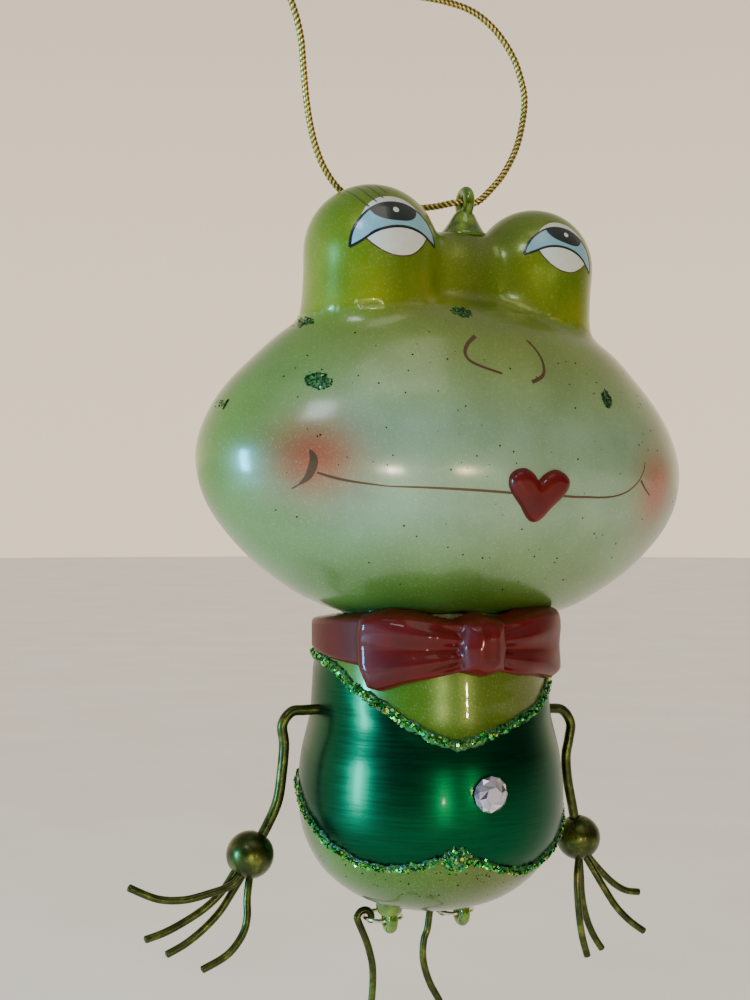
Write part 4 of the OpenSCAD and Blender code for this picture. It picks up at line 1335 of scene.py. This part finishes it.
class FROG_OT_stone(bpy.types.Operator):
    """The faceted rhinestone button; the little glue it is pressed into is not built."""

    bl_idname = "frog.stone"
    bl_label = "Rhinestone"

    def execute(self, context):
        r = context.scene.frog_sizes.stone_d / 2 / MM
        rnd = random.Random(5)
        rings = [(r * 0.97, 0.0, 12, 0), (r, 0.35, 12, 0), (r * 0.82, 0.95, 12, 0.5),
                 (r * 0.46, 1.45, 6, 0.25)]
        bm = bmesh.new()
        loops = []
        for radius, high, count, shift in rings:
            turns = [math.tau * (k + shift) / count for k in range(count)]
            loops.append([bm.verts.new((radius * math.cos(a), -high, radius * math.sin(a))) for a in turns])
        for a, b in zip(loops, loops[1:]):
            n, m = len(a), len(b)
            if n == m:
                for k in range(n):
                    if a is loops[0]:
                        bm.faces.new((a[k], a[(k + 1) % n], b[(k + 1) % n], b[k]))
                    else:
                        bm.faces.new((a[k], a[(k + 1) % n], b[k]))
                        bm.faces.new((b[k], a[(k + 1) % n], b[(k + 1) % n]))
            else:
                for k in range(m):
                    bm.faces.new((a[2 * k], a[2 * k + 1], b[k]))
                    bm.faces.new((a[2 * k + 1], a[(2 * k + 2) % n], b[k]))
                    bm.faces.new((a[(2 * k + 2) % n], b[(k + 1) % m], b[k]))
        bm.faces.new(loops[-1])
        bm.faces.new(loops[0][::-1])
        for v in bm.verts:
            v.co = in_torso(v.co + Vector((0.4, -TORSO_R - 0.24, -28.0)))
        bmesh.ops.recalc_face_normals(bm, faces=bm.faces)
        mesh = as_mesh("cut_button", bm)
        # painted reflections: each facet is given a random tone from pale silver to dark lilac
        colours = mesh.color_attributes.new("paint", "FLOAT_COLOR", "CORNER")
        for polygon in mesh.polygons:
            tone = linear(rnd.choice(STONE_FACET_REFLECTIONS))
            for k in polygon.loop_indices:
                colours.data[k].color = tone
        finish_piece("cut_button", mesh, "frog", [material("stone")], ["rhinestone"], shade=False)
        return {"FINISHED"}


def drilled_bead(name, centre, bore_dir, bore_r, body, replaces):
    """A turned metal bead, flattened where the wire goes in and where the fingers come out."""
    r = bpy.context.scene.frog_sizes.bead_d / 2 / MM
    lip = math.asin(min(0.9, (bore_r + 0.35) / r))
    mouth = math.asin(1.75 / r)
    rim, base = r * math.cos(lip), -r * math.cos(mouth)
    round_side = [lip + (math.pi - lip - mouth) * k / 40 for k in range(41)]
    profile = [(bore_r + 0.1, rim - 1.2), (bore_r + 0.12, rim - 0.18)]
    profile += [(r * math.sin(a), r * math.cos(a)) for a in round_side]
    profile += [(1.6, base + 0.25), (1.5, base + 1.2), (0, base + 1.3)]
    bm = revolve([(x * MM, z * MM) for x, z in profile], 56)
    turn = Vector((0, 0, 1)).rotation_difference(bore_dir).to_matrix().to_4x4()
    bmesh.ops.transform(bm, verts=bm.verts, matrix=Matrix.Translation(in_torso(centre)) @ turn)
    piece(name, bm, body, [material("wire")], replaces)


class FROG_OT_arms(bpy.types.Operator):
    """Arms: a bent wire, a bead for the hand and four wire fingers."""

    bl_idname = "frog.arms"
    bl_label = "Arms and hands"

    def execute(self, context):
        sizes = context.scene.frog_sizes
        coat = material("wire")
        for side, route, hand, fingers in (("left", LEFT_ARM, LEFT_HAND, LEFT_FINGERS),
                                           ("right", RIGHT_ARM, RIGHT_HAND, RIGHT_FINGERS)):
            body = f"{side}_arm"
            wire(f"{side}_arm_bent", [in_torso(p) for p in route], sizes.arm_d, body, coat,
                 [f"{side}_arm_wire"])
            toward = (Vector(route[-2]) - hand).normalized()
            drilled_bead(f"{side}_hand", hand, toward, sizes.arm_d / 2 / MM, body, [f"{side}_hand_bead"])
            for k, finger in enumerate(fingers):
                wire(f"{side}_finger_wire_{k + 1}", [in_torso(p) for p in finger], sizes.fine_d, body,
                     coat,
                     [f"{side}_finger_{k + 1}"])
        return {"FINISHED"}


class FROG_OT_legs(bpy.types.Operator):
    """Legs: jump rings in the lugs, wavy wires hooked on them, and bead feet with wire toes."""

    bl_idname = "frog.legs"
    bl_label = "Legs and feet"

    def execute(self, context):
        sizes = context.scene.frog_sizes
        coat = material("wire")
        hook_y = LUG_Y + RING_R
        for i, side in enumerate(("left", "right")):
            body = f"{side}_leg"
            ring = bmesh.new()
            middle = Vector((LUG_X[i], hook_y, LUG_Z))
            turn = [math.radians(20 + 352 * k / 72) for k in range(73)]
            line = [middle + Vector((RING_R * math.cos(a), RING_R * math.sin(a),
                                     0.12 * math.sin(a))) for a in turn]
            swept([in_torso(p) for p in line], lambda i, a: 0.35 * MM, 12, ring)
            piece(f"{side}_ring", ring, "frog", [material("bright")], [f"{side}_jump_ring"])
            hook = Vector((LUG_X[i] - RING_R, hook_y, LUG_Z))
            bend = [math.radians(k) for k in range(-40, 224, 33)]
            crook = [hook + HOOK_R * Vector((math.cos(a), 0, math.sin(a))) for a in bend]
            leg = crook + [hook + Vector((x, 0, -z * LEG_H)) for x, z in LEG_BENDS[i]]
            wire(f"{side}_leg_bent", [in_torso(p) for p in leg], sizes.fine_d, body, coat,
                 [f"{side}_leg_wire"])
            foot = hook - Vector((0, 0, LEG_H))
            drilled_bead(f"{side}_foot", foot, Vector((0, 0, 1)), sizes.fine_d / 2 / MM, body,
                         [f"{side}_foot_bead"])
            for k, toe in enumerate(TOES):
                route = [foot + Vector((x, TOE_Y[k] * (1 + z / 8), -z)) for x, z in toe]
                wire(f"{side}_toe_wire_{k + 1}", [in_torso(p) for p in route], sizes.fine_d, body,
                     coat,
                     [f"{side}_toe_{k + 1}"])
        for side in ("left", "right"):
            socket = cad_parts[f"{side}_arm_socket"]
            for slot in socket.material_slots:
                slot.material = material("glass")
        return {"FINISHED"}


class FROG_PT_panel(bpy.types.Panel):
    """Lists the ornament's pieces."""

    bl_idname = "FROG_PT_panel"
    bl_label = "Frog Ornament"
    bl_space_type = "VIEW_3D"
    bl_region_type = "UI"
    bl_category = "Frog Ornament"

    def draw(self, context):
        for operator in OPERATORS:
            self.layout.operator(operator.bl_idname)
        for group in (context.scene.frog_sizes, context.scene.frog_colours):
            for name in group.__annotations__:
                self.layout.prop(group, name)


OPERATORS = (FROG_OT_stage, FROG_OT_cord, FROG_OT_head, FROG_OT_torso, FROG_OT_hanger, FROG_OT_eyes,
             FROG_OT_face, FROG_OT_bow, FROG_OT_glitter, FROG_OT_stone, FROG_OT_arms, FROG_OT_legs)
CLASSES = (FrogSizes, FrogColours, *OPERATORS, FROG_PT_panel)


def register():
    """Registers the classes and their settings on the scene."""
    for cls in CLASSES:
        bpy.utils.register_class(cls)
    bpy.types.Scene.frog_sizes = PointerProperty(type=FrogSizes)
    bpy.types.Scene.frog_colours = PointerProperty(type=FrogColours)


def unregister():
    """Removes what register added."""
    del bpy.types.Scene.frog_sizes
    del bpy.types.Scene.frog_colours
    for cls in reversed(CLASSES):
        bpy.utils.unregister_class(cls)


def main():
    """Builds the whole ornament."""
    register()
    bpy.ops.frog.stage()
    bpy.ops.frog.cord()
    bpy.ops.frog.head()
    bpy.ops.frog.torso()
    bpy.ops.frog.hanger()
    bpy.ops.frog.eyes()
    bpy.ops.frog.face()
    bpy.ops.frog.bow()
    bpy.ops.frog.glitter()
    bpy.ops.frog.stone()
    bpy.ops.frog.arms()
    bpy.ops.frog.legs()


if __name__ == "__main__":
    main()
